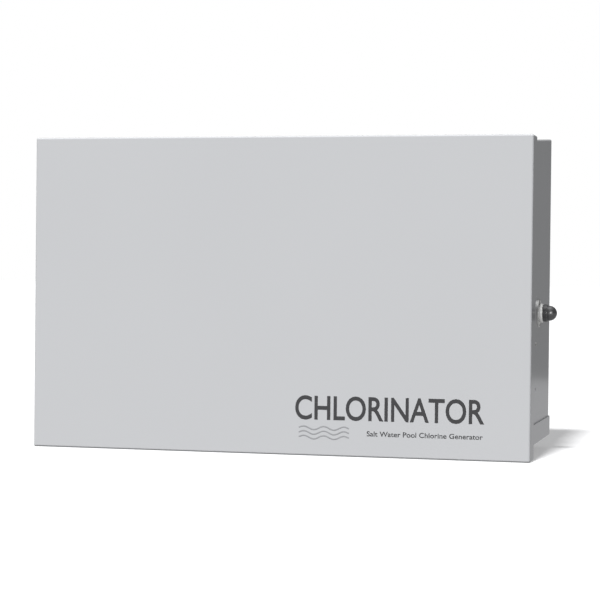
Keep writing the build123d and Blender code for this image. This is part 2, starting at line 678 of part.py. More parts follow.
# ================================================================ door
def make_door_panel():
    half = DOOR_W / 2
    outer = block(-half, half, FRONT_Y, FRONT_Y + DOOR_FLANGE, DOOR_Z0, DOOR_Z1)
    outer = fillet(outer.edges().filter_by(Axis.Y), CORNER_R)
    outer = fillet(outer.faces().sort_by(Axis.Y)[0].edges(), FOLD_R)
    inner = block(-half + SHEET, half - SHEET, FRONT_Y + SHEET, FRONT_Y + DOOR_FLANGE + 1,
                  DOOR_Z0 + SHEET, DOOR_Z1 - SHEET)
    inner = fillet(inner.edges().filter_by(Axis.Y), FOLD_INNER_R)
    inner = fillet(inner.faces().sort_by(Axis.Y)[0].edges(), FOLD_INNER_R)
    door = outer - inner
    for x, y, z in hinge_rivet_points("door"):
        door -= rod(RIVET_R + RIVET_FIT, (HINGE_X - 1, y, z), (HINGE_X + SHEET + 1, y, z))
    return door


def make_door_gasket():
    """A foam strip on the door's inner face that meets the lip round the case's mouth."""
    y0, y1 = FRONT_Y + SHEET, RIM_Y - LIP_GAP
    x, z0, z1 = CASE_X - GASKET_EDGE, FLOOR_Z + GASKET_EDGE, TOP_FRONT_Z - GASKET_EDGE
    ring = fillet(block(-x, x, y0, y1, z0, z1).edges().filter_by(Axis.Y), GASKET_OUTER_R)
    x, z0, z1 = x - GASKET_W, z0 + GASKET_W, z1 - GASKET_W
    hole = fillet(block(-x, x, y0 - 1, y1 + 1, z0, z1).edges().filter_by(Axis.Y), GASKET_INNER_R)
    return ring - hole


def make_door_label():
    """A wiring chart stuck inside the door."""
    x0 = -LABEL_LEFT - LABEL_W / 2
    z0 = (DOOR_Z0 + DOOR_Z1 - LABEL_H) / 2
    face = FRONT_Y + SHEET
    label = block(x0, x0 + LABEL_W, face, face + LABEL_T, z0, z0 + LABEL_H)
    return fillet(label.edges().filter_by(Axis.Y), LABEL_R)


def striker_rivet_points():
    x = STRIKER_X - STRIKER_FOOT / 2
    return [(x, LATCH_Z - STRIKER_H * STRIKER_RIVET_OUT), (x, LATCH_Z + STRIKER_H * STRIKER_RIVET_OUT)]


def make_door_striker():
    """An angle on the door with a pin that the latch's hook catches."""
    face = FRONT_Y + SHEET
    pin_y = LATCH_Y - STRIKE_R
    foot = block(STRIKER_X - STRIKER_FOOT, STRIKER_X, face, face + STRIKER_T,
                 LATCH_Z - STRIKER_H / 2, LATCH_Z + STRIKER_H / 2)
    foot = fillet(foot.edges().filter_by(Axis.Y).group_by(Axis.X)[0], STRIKER_FOOT_ROUND)
    arm = block(STRIKER_X - STRIKER_T, STRIKER_X, face, pin_y + STRIKER_ARM_H / 2,
                LATCH_Z - STRIKER_ARM_H / 2, LATCH_Z + STRIKER_ARM_H / 2)
    arm = fillet(arm.edges().filter_by(Axis.X).group_by(Axis.Y)[-1], STRIKER_ARM_ROUND)
    pin = rod(STRIKE_PIN_R, (STRIKER_X - STRIKER_T, pin_y, LATCH_Z), (PAWL_X1 + STRIKE_PIN_END, pin_y, LATCH_Z))
    striker = foot + arm + pin
    for x, z in striker_rivet_points():
        striker -= rod(RIVET_R + RIVET_FIT, (x, face - 1, z), (x, face + STRIKER_T + 1, z))
    return striker


def make_door_rivets():
    """Rivets of the door's hinge leaves, and the striker's studs, which the door's face hides."""
    rivets = [rivet((HINGE_X + SHEET, y, z), (x, y, z)) for x, y, z in hinge_rivet_points("door")]
    face = FRONT_Y + SHEET
    for x, z in striker_rivet_points():
        stud = rod(RIVET_R, (x, face, z), (x, face + STRIKER_T + RIVET_HEAD_T, z))
        stud += rod(RIVET_HEAD_R, (x, face + STRIKER_T, z), (x, face + STRIKER_T + RIVET_HEAD_T, z))
        rivets.append(stud)
    return group(rivets)


# ================================================================ latch
BUSH_SEAT = CASE_X + ROSETTE_DISH_T
BUSH_FACE = BUSH_SEAT + BUSH_SHOULDER_T + BUSH_FLANGE_T


def make_latch_rosette():
    """A dished washer on the case's side with a raised, rounded rim."""
    hole, inner = BUSH_NECK_R + SCREW_FIT, ROSETTE_R - ROSETTE_RIM
    points = [(0, hole), (0, ROSETTE_R), (ROSETTE_T, ROSETTE_R), (ROSETTE_T, inner),
              (ROSETTE_DISH_T, inner), (ROSETTE_DISH_T, hole)]
    plane = Plane(origin=(CASE_X, LATCH_Y, LATCH_Z), x_dir=(1, 0, 0), z_dir=(0, -1, 0))
    section = make_face(plane * Polyline(points, close=True))
    section = fillet(section.vertices().group_by(Axis.X)[-1], ROSETTE_ROUND)
    return revolve(section, Axis((0, LATCH_Y, LATCH_Z), (1, 0, 0)))


def make_latch_bushing():
    """A threaded neck through the case's side, with a shoulder and a round flange outside it."""
    under = BUSH_SEAT + BUSH_SHOULDER_T
    flange = rod(BUSH_FLANGE_R, (under, LATCH_Y, LATCH_Z), (BUSH_FACE, LATCH_Y, LATCH_Z))
    flange = fillet(flange.edges().group_by(Axis.X)[0] + flange.edges().group_by(Axis.X)[-1],
                    BUSH_FLANGE_ROUND)
    bush = flange + rod(BUSH_SHOULDER_R, (BUSH_SEAT, LATCH_Y, LATCH_Z), (BUSH_FACE, LATCH_Y, LATCH_Z))
    neck_end = BUSH_SEAT - BUSH_LEN
    bush += rod(BUSH_NECK_R, (neck_end, LATCH_Y, LATCH_Z), (BUSH_SEAT, LATCH_Y, LATCH_Z))
    return bush - rod(SHAFT_R + SHAFT_GAP, (neck_end - 1, LATCH_Y, LATCH_Z), (BUSH_FACE + 1, LATCH_Y, LATCH_Z))


def make_latch_nut():
    nut = hexagon_bar(NUT_AF, (INNER_X - NUT_T, LATCH_Y, LATCH_Z), (INNER_X, LATCH_Y, LATCH_Z))
    return nut - rod(BUSH_NECK_R + SHAFT_GAP, (INNER_X - NUT_T - 1, LATCH_Y, LATCH_Z),
                     (INNER_X + 1, LATCH_Y, LATCH_Z))


KNOB_X = BUSH_FACE + KNOB_GAP


def make_latch_knob():
    x = KNOB_X
    collar = rod(COLLAR_R, (x, LATCH_Y, LATCH_Z), (x + COLLAR_T, LATCH_Y, LATCH_Z))
    collar = fillet(collar.edges(), COLLAR_ROUND)
    dome_x = x + COLLAR_T + DOME_STRAIGHT
    stem = rod(DOME_R, (x, LATCH_Y, LATCH_Z), (dome_x, LATCH_Y, LATCH_Z))
    dome = Pos(dome_x, LATCH_Y, LATCH_Z) * Sphere(DOME_R)
    dome &= block(dome_x, dome_x + DOME_R + 1, LATCH_Y - DOME_R - 1, LATCH_Y + DOME_R + 1,
                  LATCH_Z - DOME_R - 1, LATCH_Z + DOME_R + 1)
    knob = collar + stem + dome
    return knob - rod(SHAFT_R + KNOB_FIT, (x - 1, LATCH_Y, LATCH_Z), (dome_x, LATCH_Y, LATCH_Z))


def make_latch_shaft():
    tip = KNOB_X + COLLAR_T + DOME_STRAIGHT - SCREW_FIT
    shaft = rod(SHAFT_R, (PAWL_X1, LATCH_Y, LATCH_Z), (tip, LATCH_Y, LATCH_Z))
    half = SHAFT_SQUARE / 2
    shaft += block(PAWL_X0 + SCREW_FIT, PAWL_X1, LATCH_Y - half, LATCH_Y + half, LATCH_Z - half, LATCH_Z + half)
    return shaft - rod(PAWL_TAP_R, (PAWL_X0 - 1, LATCH_Y, LATCH_Z),
                       (PAWL_X1 + PAWL_TAP_DEPTH, LATCH_Y, LATCH_Z))


def make_latch_pawl():
    """A hook that points up when the door is free and forward when it is held."""
    reach = STRIKE_R + STRIKE_PIN_R + STRIKE_GAP + PAWL_END
    half = PAWL_W / 2
    bar = block(PAWL_X0, PAWL_X1, LATCH_Y - half, LATCH_Y + half, LATCH_Z - half, LATCH_Z + reach)
    bar = fillet(bar.edges().filter_by(Axis.X), PAWL_ROUND)
    wide = STRIKE_PIN_R + STRIKE_GAP
    ring = rod(STRIKE_R + wide, (PAWL_X0 - 1, LATCH_Y, LATCH_Z), (PAWL_X1 + 1, LATCH_Y, LATCH_Z))
    ring -= rod(STRIKE_R - wide, (PAWL_X0 - 1, LATCH_Y, LATCH_Z), (PAWL_X1 + 1, LATCH_Y, LATCH_Z))
    ring &= block(PAWL_X0 - 1, PAWL_X1 + 1, LATCH_Y - PAWL_W, LATCH_Y + wide, LATCH_Z, LATCH_Z + 2 * reach)
    hole = SHAFT_SQUARE / 2 + PAWL_FIT
    bar -= block(PAWL_X0 - 1, PAWL_X1 + 1, LATCH_Y - hole, LATCH_Y + hole, LATCH_Z - hole, LATCH_Z + hole)
    return bar - ring


def make_pawl_screw():
    return pan_screw((PAWL_X1 + PAWL_SCREW_BITE, LATCH_Y, LATCH_Z), (PAWL_X0, LATCH_Y, LATCH_Z),
                     PAWL_SCREW_R, PAWL_SCREW_HEAD_R, PAWL_SCREW_HEAD_T)


# ================================================================ shelf, posts and panels
def make_divider_shelf():
    """Keeps field wiring apart from the electronics.  Its turned-up ends are screwed to the sides."""
    y0 = PANEL_BACK
    z1 = SHELF_Z + SHEET
    shelf = block(-INNER_X, INNER_X, y0, BACK_IN, SHELF_Z, z1)
    shelf = chamfer(shelf.edges().filter_by(Axis.Z).group_by(Axis.Y)[-1], SHELF_CORNER)
    shelf += block(-INNER_X, INNER_X, y0, y0 + SHEET, SHELF_Z - PANEL_DROP, z1)
    for side in (-1, 1):
        a, b = sorted((side * INNER_X, side * (INNER_X - SHEET)))
        shelf += block(a, b, FRONT_Y + SHELF_TAB_SET, BACK_IN - SHELF_TAB_BACK, z1, SHELF_Z + SHELF_TURN)
    for side, y, z in side_screw_points():
        shelf -= rod(SHELF_SCREW_R + SCREW_FIT, (side * (INNER_X - SHEET - 1), y, z),
                     (side * (INNER_X + 1), y, z))
    return shelf - block(LEAD_NOTCH_X - LEAD_NOTCH_W / 2, LEAD_NOTCH_X + LEAD_NOTCH_W / 2,
                         BACK_IN - LEAD_NOTCH_D, BACK_IN + 1, SHELF_Z - 1, z1 + 1)


def make_panel_posts():
    posts = []
    for x, z in post_points():
        post = hexagon_bar(POST_AF, (x, PANEL_BACK, z), (x, BACK_IN, z))
        posts.append(post - rod(SCREW_R + SCREW_FIT, (x, PANEL_BACK - 1, z),
                                (x, PANEL_BACK + SCREW_BITE + POST_TAP_SPARE, z)))
    return group(posts)


def make_control_panel():
    panel = block(PANEL_X0, PANEL_X1, PANEL_Y, PANEL_BACK, PANEL_Z0, PANEL_Z1)
    panel = fillet(panel.edges().filter_by(Axis.Y), PANEL_R)
    low, high = SHELF_Z + SHEET + PANEL_TURN_SHORT, PANEL_Z1 - PANEL_TURN_SHORT
    for x in (PANEL_X0, PANEL_X1 - PANEL_SHEET):
        panel += block(x, x + PANEL_SHEET, PANEL_BACK, PANEL_BACK + PANEL_TURN, low, high)
    panel -= block(WINDOW_X - WINDOW_W / 2, WINDOW_X + WINDOW_W / 2, PANEL_Y - 1, PANEL_BACK + 1,
                   WINDOW_Z - WINDOW_H / 2, WINDOW_Z + WINDOW_H / 2)
    for x in key_x():
        panel -= rod(KEY_R + KEY_GAP, (x, PANEL_Y - 1, KEY_Z), (x, PANEL_BACK + 1, KEY_Z))
    for x, z in lens_points():
        panel -= rod(LENS_R + SCREW_FIT, (x, PANEL_Y - 1, z), (x, PANEL_BACK + 1, z))
    for x, z in post_points()[:4]:
        panel -= rod(SCREW_R + SCREW_FIT, (x, PANEL_Y - 1, z), (x, PANEL_BACK + 1, z))
    return panel


def make_wiring_cover():
    """Covers the mains end of the wiring bay; its turned side keeps the low-voltage end apart."""
    cover = block(PANEL_X0, COVER_X1, PANEL_Y, PANEL_BACK, COVER_Z0, COVER_Z1)
    cover = fillet(cover.edges().filter_by(Axis.Y), PANEL_R)
    cover += block(COVER_X1 - PANEL_SHEET, COVER_X1, PANEL_BACK, PANEL_Y + COVER_BARRIER,
                   COVER_Z0 + PANEL_TURN_SHORT, COVER_Z1 - PANEL_TURN_SHORT)
    for x, z in post_points()[4:]:
        cover -= rod(SCREW_R + SCREW_FIT, (x, PANEL_Y - 1, z), (x, PANEL_BACK + 1, z))
    return cover


def make_panel_screws():
    return group([pan_screw((x, PANEL_BACK + SCREW_BITE, z), (x, PANEL_Y, z)) for x, z in post_points()])


# ================================================================ display and keys
def key_x():
    """Key centres, spread about the window's centre."""
    first = WINDOW_X - KEY_PITCH * (len(KEY_NAMES) - 1) / 2
    return [first + i * KEY_PITCH for i in range(len(KEY_NAMES))]


def lens_points():
    """Status lights, in a column to the right of the window."""
    x = WINDOW_X + WINDOW_W / 2 + LENS_RIGHT
    return [(x, WINDOW_Z + WINDOW_H / 2 - i * LENS_PITCH) for i in range(LENS_COUNT)]


def board_box():
    """Display board: reaches past the window, the keys and the lights."""
    x0 = WINDOW_X - WINDOW_W / 2 - BOARD_LEFT
    x1 = lens_points()[0][0] + BOARD_RIGHT
    return x0, x1, KEY_Z - BOARD_LOW, WINDOW_Z + WINDOW_H / 2 + BOARD_HIGH


def board_corners(x0, x1, z0, z1, inset):
    return [(x, z) for x in (x0 + inset, x1 - inset) for z in (z0 + inset, z1 - inset)]


def make_display_bezel():
    w, h = WINDOW_W / 2 + BEZEL_EDGE, WINDOW_H / 2 + BEZEL_EDGE
    frame = block(WINDOW_X - w, WINDOW_X + w, PANEL_Y - BEZEL_T, PANEL_Y, WINDOW_Z - h, WINDOW_Z + h)
    frame = fillet(frame.edges().filter_by(Axis.Y), BEZEL_EDGE - BEZEL_T)
    frame = chamfer(frame.faces().sort_by(Axis.Y)[0].edges(), BEZEL_SLOPE)
    return frame - block(WINDOW_X - WINDOW_W / 2, WINDOW_X + WINDOW_W / 2, PANEL_Y - BEZEL_T - 1,
                         PANEL_Y + 1, WINDOW_Z - WINDOW_H / 2, WINDOW_Z + WINDOW_H / 2)


def make_display_window():
    w, h = WINDOW_W / 2 + LENS_EDGE, WINDOW_H / 2 + LENS_EDGE
    return block(WINDOW_X - w, WINDOW_X + w, PANEL_BACK, PANEL_BACK + LENS_T, WINDOW_Z - h, WINDOW_Z + h)


def make_lcd_module():
    w, h = WINDOW_W / 2 + LENS_EDGE, WINDOW_H / 2 + LENS_EDGE
    y0 = PANEL_BACK + LENS_T + LCD_GAP
    return block(WINDOW_X - w, WINDOW_X + w, y0, BOARD_Y, WINDOW_Z - h, WINDOW_Z + h)


def make_display_board():
    x0, x1, z0, z1 = board_box()
    board = block(x0, x1, BOARD_Y, BOARD_Y + BOARD_T, z0, z1)
    for x, z in board_corners(x0, x1, z0, z1, STANDOFF_INSET):
        board -= rod(BOARD_HOLE_R, (x, BOARD_Y - 1, z), (x, BOARD_Y + BOARD_T + 1, z))
    return board


def make_tact_switches():
    half = SWITCH_W / 2
    switches = []
    for x in key_x():
        body = block(x - half, x + half, BOARD_Y - SWITCH_T, BOARD_Y, KEY_Z - half, KEY_Z + half)
        switches.append(chamfer(body.faces().sort_by(Axis.Y)[0].edges(), SWITCH_EDGE))
    return group(switches)


def make_status_lenses():
    lenses = []
    for x, z in lens_points():
        dome_y = PANEL_Y - LENS_PROUD
        lens = rod(LENS_R, (x, dome_y, z), (x, PANEL_BACK, z))
        dome = Pos(x, dome_y, z) * Sphere(LENS_R)
        dome &= block(x - LENS_R, x + LENS_R, dome_y - LENS_DOME, dome_y, z - LENS_R, z + LENS_R)
        lens += dome + rod(LENS_R + LENS_RIM, (x, PANEL_BACK, z), (x, PANEL_BACK + LENS_RIM, z))
        lenses.append(lens)
    return group(lenses)


def make_key(x):
    """A key cap that a flange keeps behind the panel; its stem stops short of the switch by its travel."""
    cap = rod(KEY_R, (x, PANEL_Y - KEY_PROUD, KEY_Z), (x, PANEL_BACK + KEY_GAP, KEY_Z))
    cap = fillet(cap.faces().sort_by(Axis.Y)[0].edges(), KEY_ROUND)
    flange_y = PANEL_BACK + KEY_GAP
    cap += rod(KEY_FLANGE_R, (x, flange_y, KEY_Z), (x, flange_y + KEY_FLANGE_T, KEY_Z))
    stem_end = BOARD_Y - SWITCH_T - KEY_TRAVEL - KEY_GAP
    return cap + rod(KEY_STEM_R, (x, flange_y, KEY_Z), (x, stem_end, KEY_Z))


# ================================================================ transformer
def make_transformer_core():
    """Stacked laminations with two windows for the coil."""
    y1 = BACK_IN - CORE_OFF
    core = block(CORE_X - CORE_W / 2, CORE_X + CORE_W / 2, y1 - CORE_T, y1,
                 CORE_Z - CORE_H / 2, CORE_Z + CORE_H / 2)
    leg = CORE_W / 6
    for side in (-1, 1):
        a, b = sorted((CORE_X + side * leg, CORE_X + side * 2 * leg))
        core -= block(a, b, y1 - CORE_T - 1, y1 + 1, CORE_Z - COIL_H / 2, CORE_Z + COIL_H / 2)
    for dx in (-1, 1):
        for dz in (-1, 1):
            x, z = CORE_X + dx * (CORE_W / 2 - CORE_HOLE_IN), CORE_Z + dz * (CORE_H / 2 - CORE_HOLE_IN)
            core -= rod(CORE_HOLE_R, (x, y1 - CORE_T - 1, z), (x, y1 + 1, z))
    return core


def make_transformer_coil():
    """The winding on its bobbin, round the core's middle leg."""
    y1 = BACK_IN - CORE_OFF
    leg = CORE_W / 6
    gap = COIL_GAP
    coil = block(CORE_X - 2 * leg + gap, CORE_X + 2 * leg - gap, y1 - CORE_T - COIL_PROUD, y1 + COIL_PROUD,
                 CORE_Z - COIL_H / 2 + gap, CORE_Z + COIL_H / 2 - gap)
    coil = fillet(coil.edges().filter_by(Axis.Z), COIL_R)
    return coil - block(CORE_X - leg - gap, CORE_X + leg + gap, y1 - CORE_T - gap, y1 + gap,
                        CORE_Z - COIL_H / 2 - 1, CORE_Z + COIL_H / 2 + 1)


def make_transformer_brackets():
    """Two angles that hold the core off the case's back."""
    brackets = []
    y1 = BACK_IN - CORE_OFF
    for side in (-1, 1):
        edge = CORE_X + side * CORE_W / 2
        low, high = CORE_Z - BRACKET_HALF_H, CORE_Z + BRACKET_HALF_H
        a, b = sorted((edge, edge + side * BRACKET_SHEET))
        arm = block(a, b, y1 - CORE_T, BACK_IN, low, high)
        a, b = sorted((edge, edge + side * BRACKET_FOOT))
        bracket = arm + block(a, b, BACK_IN - BRACKET_SHEET, BACK_IN, low, high)
        x = edge + side * BRACKET_HOLE_IN
        for z in (CORE_Z - BRACKET_HOLE_Z, CORE_Z + BRACKET_HOLE_Z):
            bracket -= rod(CORE_HOLE_R, (x, BACK_IN - BRACKET_SHEET - 1, z), (x, BACK_IN + 1, z))
        brackets.append(bracket)
    return group(brackets)


# ================================================================ power board
def make_main_board():
    board = block(POWER_X0, POWER_X1, POWER_FACE, POWER_Y, POWER_Z0, POWER_Z1)
    for x, z in board_corners(POWER_X0, POWER_X1, POWER_Z0, POWER_Z1, STANDOFF_INSET):
        board -= rod(BOARD_HOLE_R, (x, POWER_FACE - 1, z), (x, POWER_Y + 1, z))
    return board


def make_board_spacers():
    """Spacers of one length: four hold the display board, four the power board."""
    spacers = []
    for x, z in board_corners(*board_box(), STANDOFF_INSET):
        spacers.append(((x, PANEL_BACK, z), (x, BOARD_Y, z)))
    for x, z in board_corners(POWER_X0, POWER_X1, POWER_Z0, POWER_Z1, STANDOFF_INSET):
        spacers.append(((x, POWER_Y, z), (x, BACK_IN, z)))
    tubes = []
    for (x, y0, z), (_, y1, _) in spacers:
        tubes.append(rod(SPACER_R, (x, y0, z), (x, y1, z)) - rod(SPACER_BORE_R, (x, y0 - 1, z), (x, y1 + 1, z)))
    return group(tubes)


SINK_X0 = POWER_X1 - SINK_IN - SINK_W
SINK_Z0 = POWER_Z1 - SINK_IN - SINK_H


def make_heat_sink():
    x0, x1 = SINK_X0, SINK_X0 + SINK_W
    z0, z1 = SINK_Z0, SINK_Z0 + SINK_H
    sink = block(x0, x1, POWER_FACE - SINK_BASE, POWER_FACE, z0, z1)
    step = (SINK_W - FIN_T) / (FINS - 1)
    for i in range(FINS):
        x = x0 + i * step
        sink += block(x, x + FIN_T, POWER_FACE - SINK_D, POWER_FACE - SINK_BASE, z0, z1)
    return sink


def make_power_devices():
    """Flat power packages in a row under the heat sink, with their tabs up."""
    devices = []
    top = SINK_Z0 - DEVICE_DOWN
    for i in range(DEVICES):
        x = SINK_X0 + DEVICE_IN + i * DEVICE_PITCH
        body = block(x, x + DEVICE_W, POWER_FACE - DEVICE_T, POWER_FACE, top - DEVICE_H, top)
        devices.append(chamfer(body.faces().sort_by(Axis.Y)[0].edges(), SWITCH_EDGE))
    return group(devices)


def make_capacitors():
    cans = []
    for i in range(2):
        x, z = POWER_X0 + CAP_IN + i * (2 * CAP_R + CAP_GAP), POWER_Z1 - CAP_DOWN
        can = rod(CAP_R, (x, POWER_FACE - CAP_LEN, z), (x, POWER_FACE, z))
        cans.append(fillet(can.faces().sort_by(Axis.Y)[0].edges(), CAP_ROUND))
    return group(cans)


def make_relays():
    relays = []
    for i in range(2):
        x, z = POWER_X0 + PARTS_IN + i * (RELAY_W + RELAY_GAP), POWER_Z0 + RELAY_UP
        body = block(x, x + RELAY_W, POWER_FACE - RELAY_D, POWER_FACE, z, z + RELAY_H)
        relays.append(fillet(body.edges().filter_by(Axis.Y), 1.0))
    return group(relays)


def make_fuse_holder():
    x, z = POWER_X0 + PARTS_IN, POWER_Z0 + FUSE_UP
    base = block(x, x + FUSE_L, POWER_FACE - FUSE_D, POWER_FACE, z, z + FUSE_H)
    return fillet(base.edges().filter_by(Axis.X).group_by(Axis.Y)[0], FUSE_ROUND)


# ================================================================ wiring bay
BLOCK_X0 = -INNER_X + BLOCK_IN
BLOCK_Z0 = BAY_Z - BLOCK_H / 2
LOW_X0 = INNER_X - LOW_IN - LOW_POLES * LOW_PITCH
LOW_Z0 = BAY_Z + LOW_UP
BAR_Z0 = BAY_Z + BAR_UP


def make_mains_terminal_block():
    """A barrier strip: walls between the poles."""
    strip = block(BLOCK_X0, BLOCK_X0 + BLOCK_W, BACK_IN - BLOCK_D, BACK_IN, BLOCK_Z0, BLOCK_Z0 + BLOCK_H)
    pole = BLOCK_W / BLOCK_POLES
    for i in range(BLOCK_POLES):
        x = BLOCK_X0 + i * pole
        strip -= block(x + BLOCK_WALL, x + pole - BLOCK_WALL, BACK_IN - BLOCK_D - 1,
                       BACK_IN - BLOCK_D + BLOCK_CUT, BLOCK_Z0 - 1, BLOCK_Z0 + BLOCK_H + 1)
    return strip


def make_ground_bar():
    bar = block(BAR_X0, BAR_X0 + BAR_W, BACK_IN - BAR_OFF - BAR_D, BACK_IN - BAR_OFF, BAR_Z0, BAR_Z0 + BAR_H)
    bar = chamfer(bar.edges().filter_by(Axis.X).group_by(Axis.Y)[0], SWITCH_EDGE)
    for x in (BAR_X0 + BAR_FOOT_IN, BAR_X0 + BAR_W - BAR_FOOT_IN - BAR_FOOT):
        bar += block(x, x + BAR_FOOT, BACK_IN - BAR_OFF, BACK_IN, BAR_Z0, BAR_Z0 + BAR_H)
    return bar


def make_terminal_screws():
    """The clamp screws of the mains block and of the ground bar."""
    screws = []
    pole = BLOCK_W / BLOCK_POLES
    floor = BACK_IN - BLOCK_D + BLOCK_CUT
    for i in range(BLOCK_POLES):
        x = BLOCK_X0 + (i + 0.5) * pole
        screws.append((x, floor, BAY_Z - BLOCK_SCREW_Z))
        screws.append((x, floor, BAY_Z + BLOCK_SCREW_Z))
    for i in range(BAR_SCREWS):
        x = BAR_X0 + BAR_SCREW_IN + i * BAR_SCREW_PITCH
        screws.append((x, BACK_IN - BAR_OFF - BAR_D, BAR_Z0 + BAR_H / 2))
    heads = []
    for x, y, z in screws:
        head = rod(CLAMP_HEAD_R, (x, y - CLAMP_HEAD_T, z), (x, y, z))
        slot = block(x - CLAMP_SLOT_L / 2, x + CLAMP_SLOT_L / 2, y - CLAMP_HEAD_T - 1, y - CLAMP_HEAD_T / 2,
                     z - CLAMP_SLOT_W / 2, z + CLAMP_SLOT_W / 2)
        heads.append(chamfer(head.faces().sort_by(Axis.Y)[0].edges(), SWITCH_EDGE) - slot)
    return group(heads)


def make_low_voltage_block():
    """Plug-in connectors for the sensor, the remote and the cell's leads."""
    poles = []
    for i in range(LOW_POLES):
        x = LOW_X0 + i * LOW_PITCH
        middle, face, entry_z = x + LOW_PITCH / 2, BACK_IN - LOW_D, LOW_Z0 + LOW_H - LOW_ENTRY_DOWN
        pole = block(x, x + LOW_PITCH, face, BACK_IN, LOW_Z0, LOW_Z0 + LOW_H)
        pole -= rod(LOW_ENTRY_R, (middle, face - 1, entry_z), (middle, face + LOW_ENTRY_DEPTH, entry_z))
        pole -= block(x + LOW_WALL, x + LOW_PITCH - LOW_WALL, face - 1, face + LOW_WIRE_DEPTH,
                      LOW_Z0 + LOW_WALL, LOW_Z0 + LOW_WALL + LOW_WIRE_H)
        poles.append(pole)
    body = poles[0]
    for pole in poles[1:]:
        body += pole
    return body


def make_cell_socket():
    """Outlet for the cell's plug: a flange under the tray, a keyed collar and a body inside the bay."""
    x, y, _ = tray_hole_points()["cell"]
    collar_z, cup_z = TRAY_Z - SOCKET_COLLAR, TRAY_Z + SOCKET_CUP
    socket = rod(SOCKET_FLANGE_R, (x, y, TRAY_Z - SOCKET_FLANGE_T), (x, y, TRAY_Z))
    socket = fillet(socket.faces().sort_by(Axis.Z)[0].edges(), SOCKET_FLANGE_T * 0.4)
    socket += rod(SOCKET_R, (x, y, collar_z), (x, y, FLOOR_IN + SOCKET_BODY))
    socket -= rod(SOCKET_R - SOCKET_WALL, (x, y, collar_z - 1), (x, y, cup_z))
    socket -= block(x - KEYWAY_W / 2, x + KEYWAY_W / 2, y - SOCKET_R - 1, y - SOCKET_R + SOCKET_WALL + 1,
                    collar_z - 1, TRAY_Z - SOCKET_FLANGE_T - 1)
    for i in range(4):
        a = math.radians(45 + 90 * i)
        px, py = x + SOCKET_PIN_RING * math.cos(a), y + SOCKET_PIN_RING * math.sin(a)
        socket += rod(SOCKET_PIN_R, (px, py, TRAY_Z - SOCKET_PIN_SET), (px, py, cup_z + 1))
    return socket


def make_socket_nut():
    x, y, _ = tray_hole_points()["cell"]
    low, high = FLOOR_Z - 1, FLOOR_Z + SOCKET_NUT_T + 1
    nut = rod(SOCKET_FLANGE_R, (x, y, FLOOR_Z), (x, y, FLOOR_Z + SOCKET_NUT_T))
    reach = SOCKET_FLANGE_R + SOCKET_NUT_GRIP_R * 0.4
    for i in range(SOCKET_NUT_GRIPS):
        a = math.tau * i / SOCKET_NUT_GRIPS
        px, py = x + reach * math.cos(a), y + reach * math.sin(a)
        nut -= rod(SOCKET_NUT_GRIP_R, (px, py, low), (px, py, high))
    return nut - rod(SOCKET_R + SHAFT_GAP, (x, y, low), (x, y, high))


def make_sensor_grommet():
    x, y, r = tray_hole_points()["grommet"]
    lip = GROMMET_LIP
    grommet = rod(r + lip, (x, y, TRAY_Z - lip), (x, y, TRAY_Z))
    grommet += rod(r + lip, (x, y, FLOOR_Z), (x, y, FLOOR_Z + lip))
    grommet += rod(r - GROMMET_FIT, (x, y, TRAY_Z), (x, y, FLOOR_Z))
    ends = [f.edges()[0] for f in (grommet.faces().sort_by(Axis.Z)[0], grommet.faces().sort_by(Axis.Z)[-1])]
    grommet = fillet(ends, lip * 0.4)
    return grommet - rod(r - GROMMET_WALL, (x, y, TRAY_Z - lip - 1), (x, y, FLOOR_Z + lip + 1))


def make_bonding_lug():
    """A clamp for the pool's bonding wire, under the tray."""
    x, y = -CASE_X + LUG_SIDE, FRONT_Y + LUG_SET
    half, low = LUG_W / 2, TRAY_Z - LUG_H
    lug = block(x - half, x + half, y - LUG_L / 2, y + LUG_L / 2, low, TRAY_Z)
    lug = fillet(lug.edges().filter_by(Axis.X).group_by(Axis.Z)[0], SCREW_R)
    y, z = y + LUG_BORE_BACK, TRAY_Z - LUG_BORE_DOWN
    lug -= rod(LUG_BORE_R, (x - half - 1, y, z), (x + half + 1, y, z))
    return lug - rod(SCREW_R, (x, y, low - 1), (x, y, z - LUG_BORE_R + 1))


def make_cell_leads():
    """Heavy leads from the low-voltage connectors down to the cell's socket."""
    sx, sy, _ = tray_hole_points()["cell"]
    leads = []
    wire_z = LOW_Z0 + LOW_WALL + LOW_WIRE_H / 2
    for i in range(LEADS):
        x = LOW_X0 + (2 * i + 1.5) * LOW_PITCH
        end_x = sx + (i - 1) * LEAD_PITCH
        start = (x, BACK_IN - LOW_D, wire_z)
        away = (x, BACK_IN - LOW_D - LEAD_OUT, wire_z)
        over = (end_x, sy, LOW_Z0 + LEAD_UP + i)
        end = (end_x, sy, FLOOR_IN + SOCKET_BODY)
        path = FilletPolyline(start, away, over, end, radius=LEAD_BEND_R)
        section = Plane(origin=start, z_dir=(0, -1, 0)) * Circle(LEAD_R)
        leads.append(sweep(section, path=path))
    return group(leads)


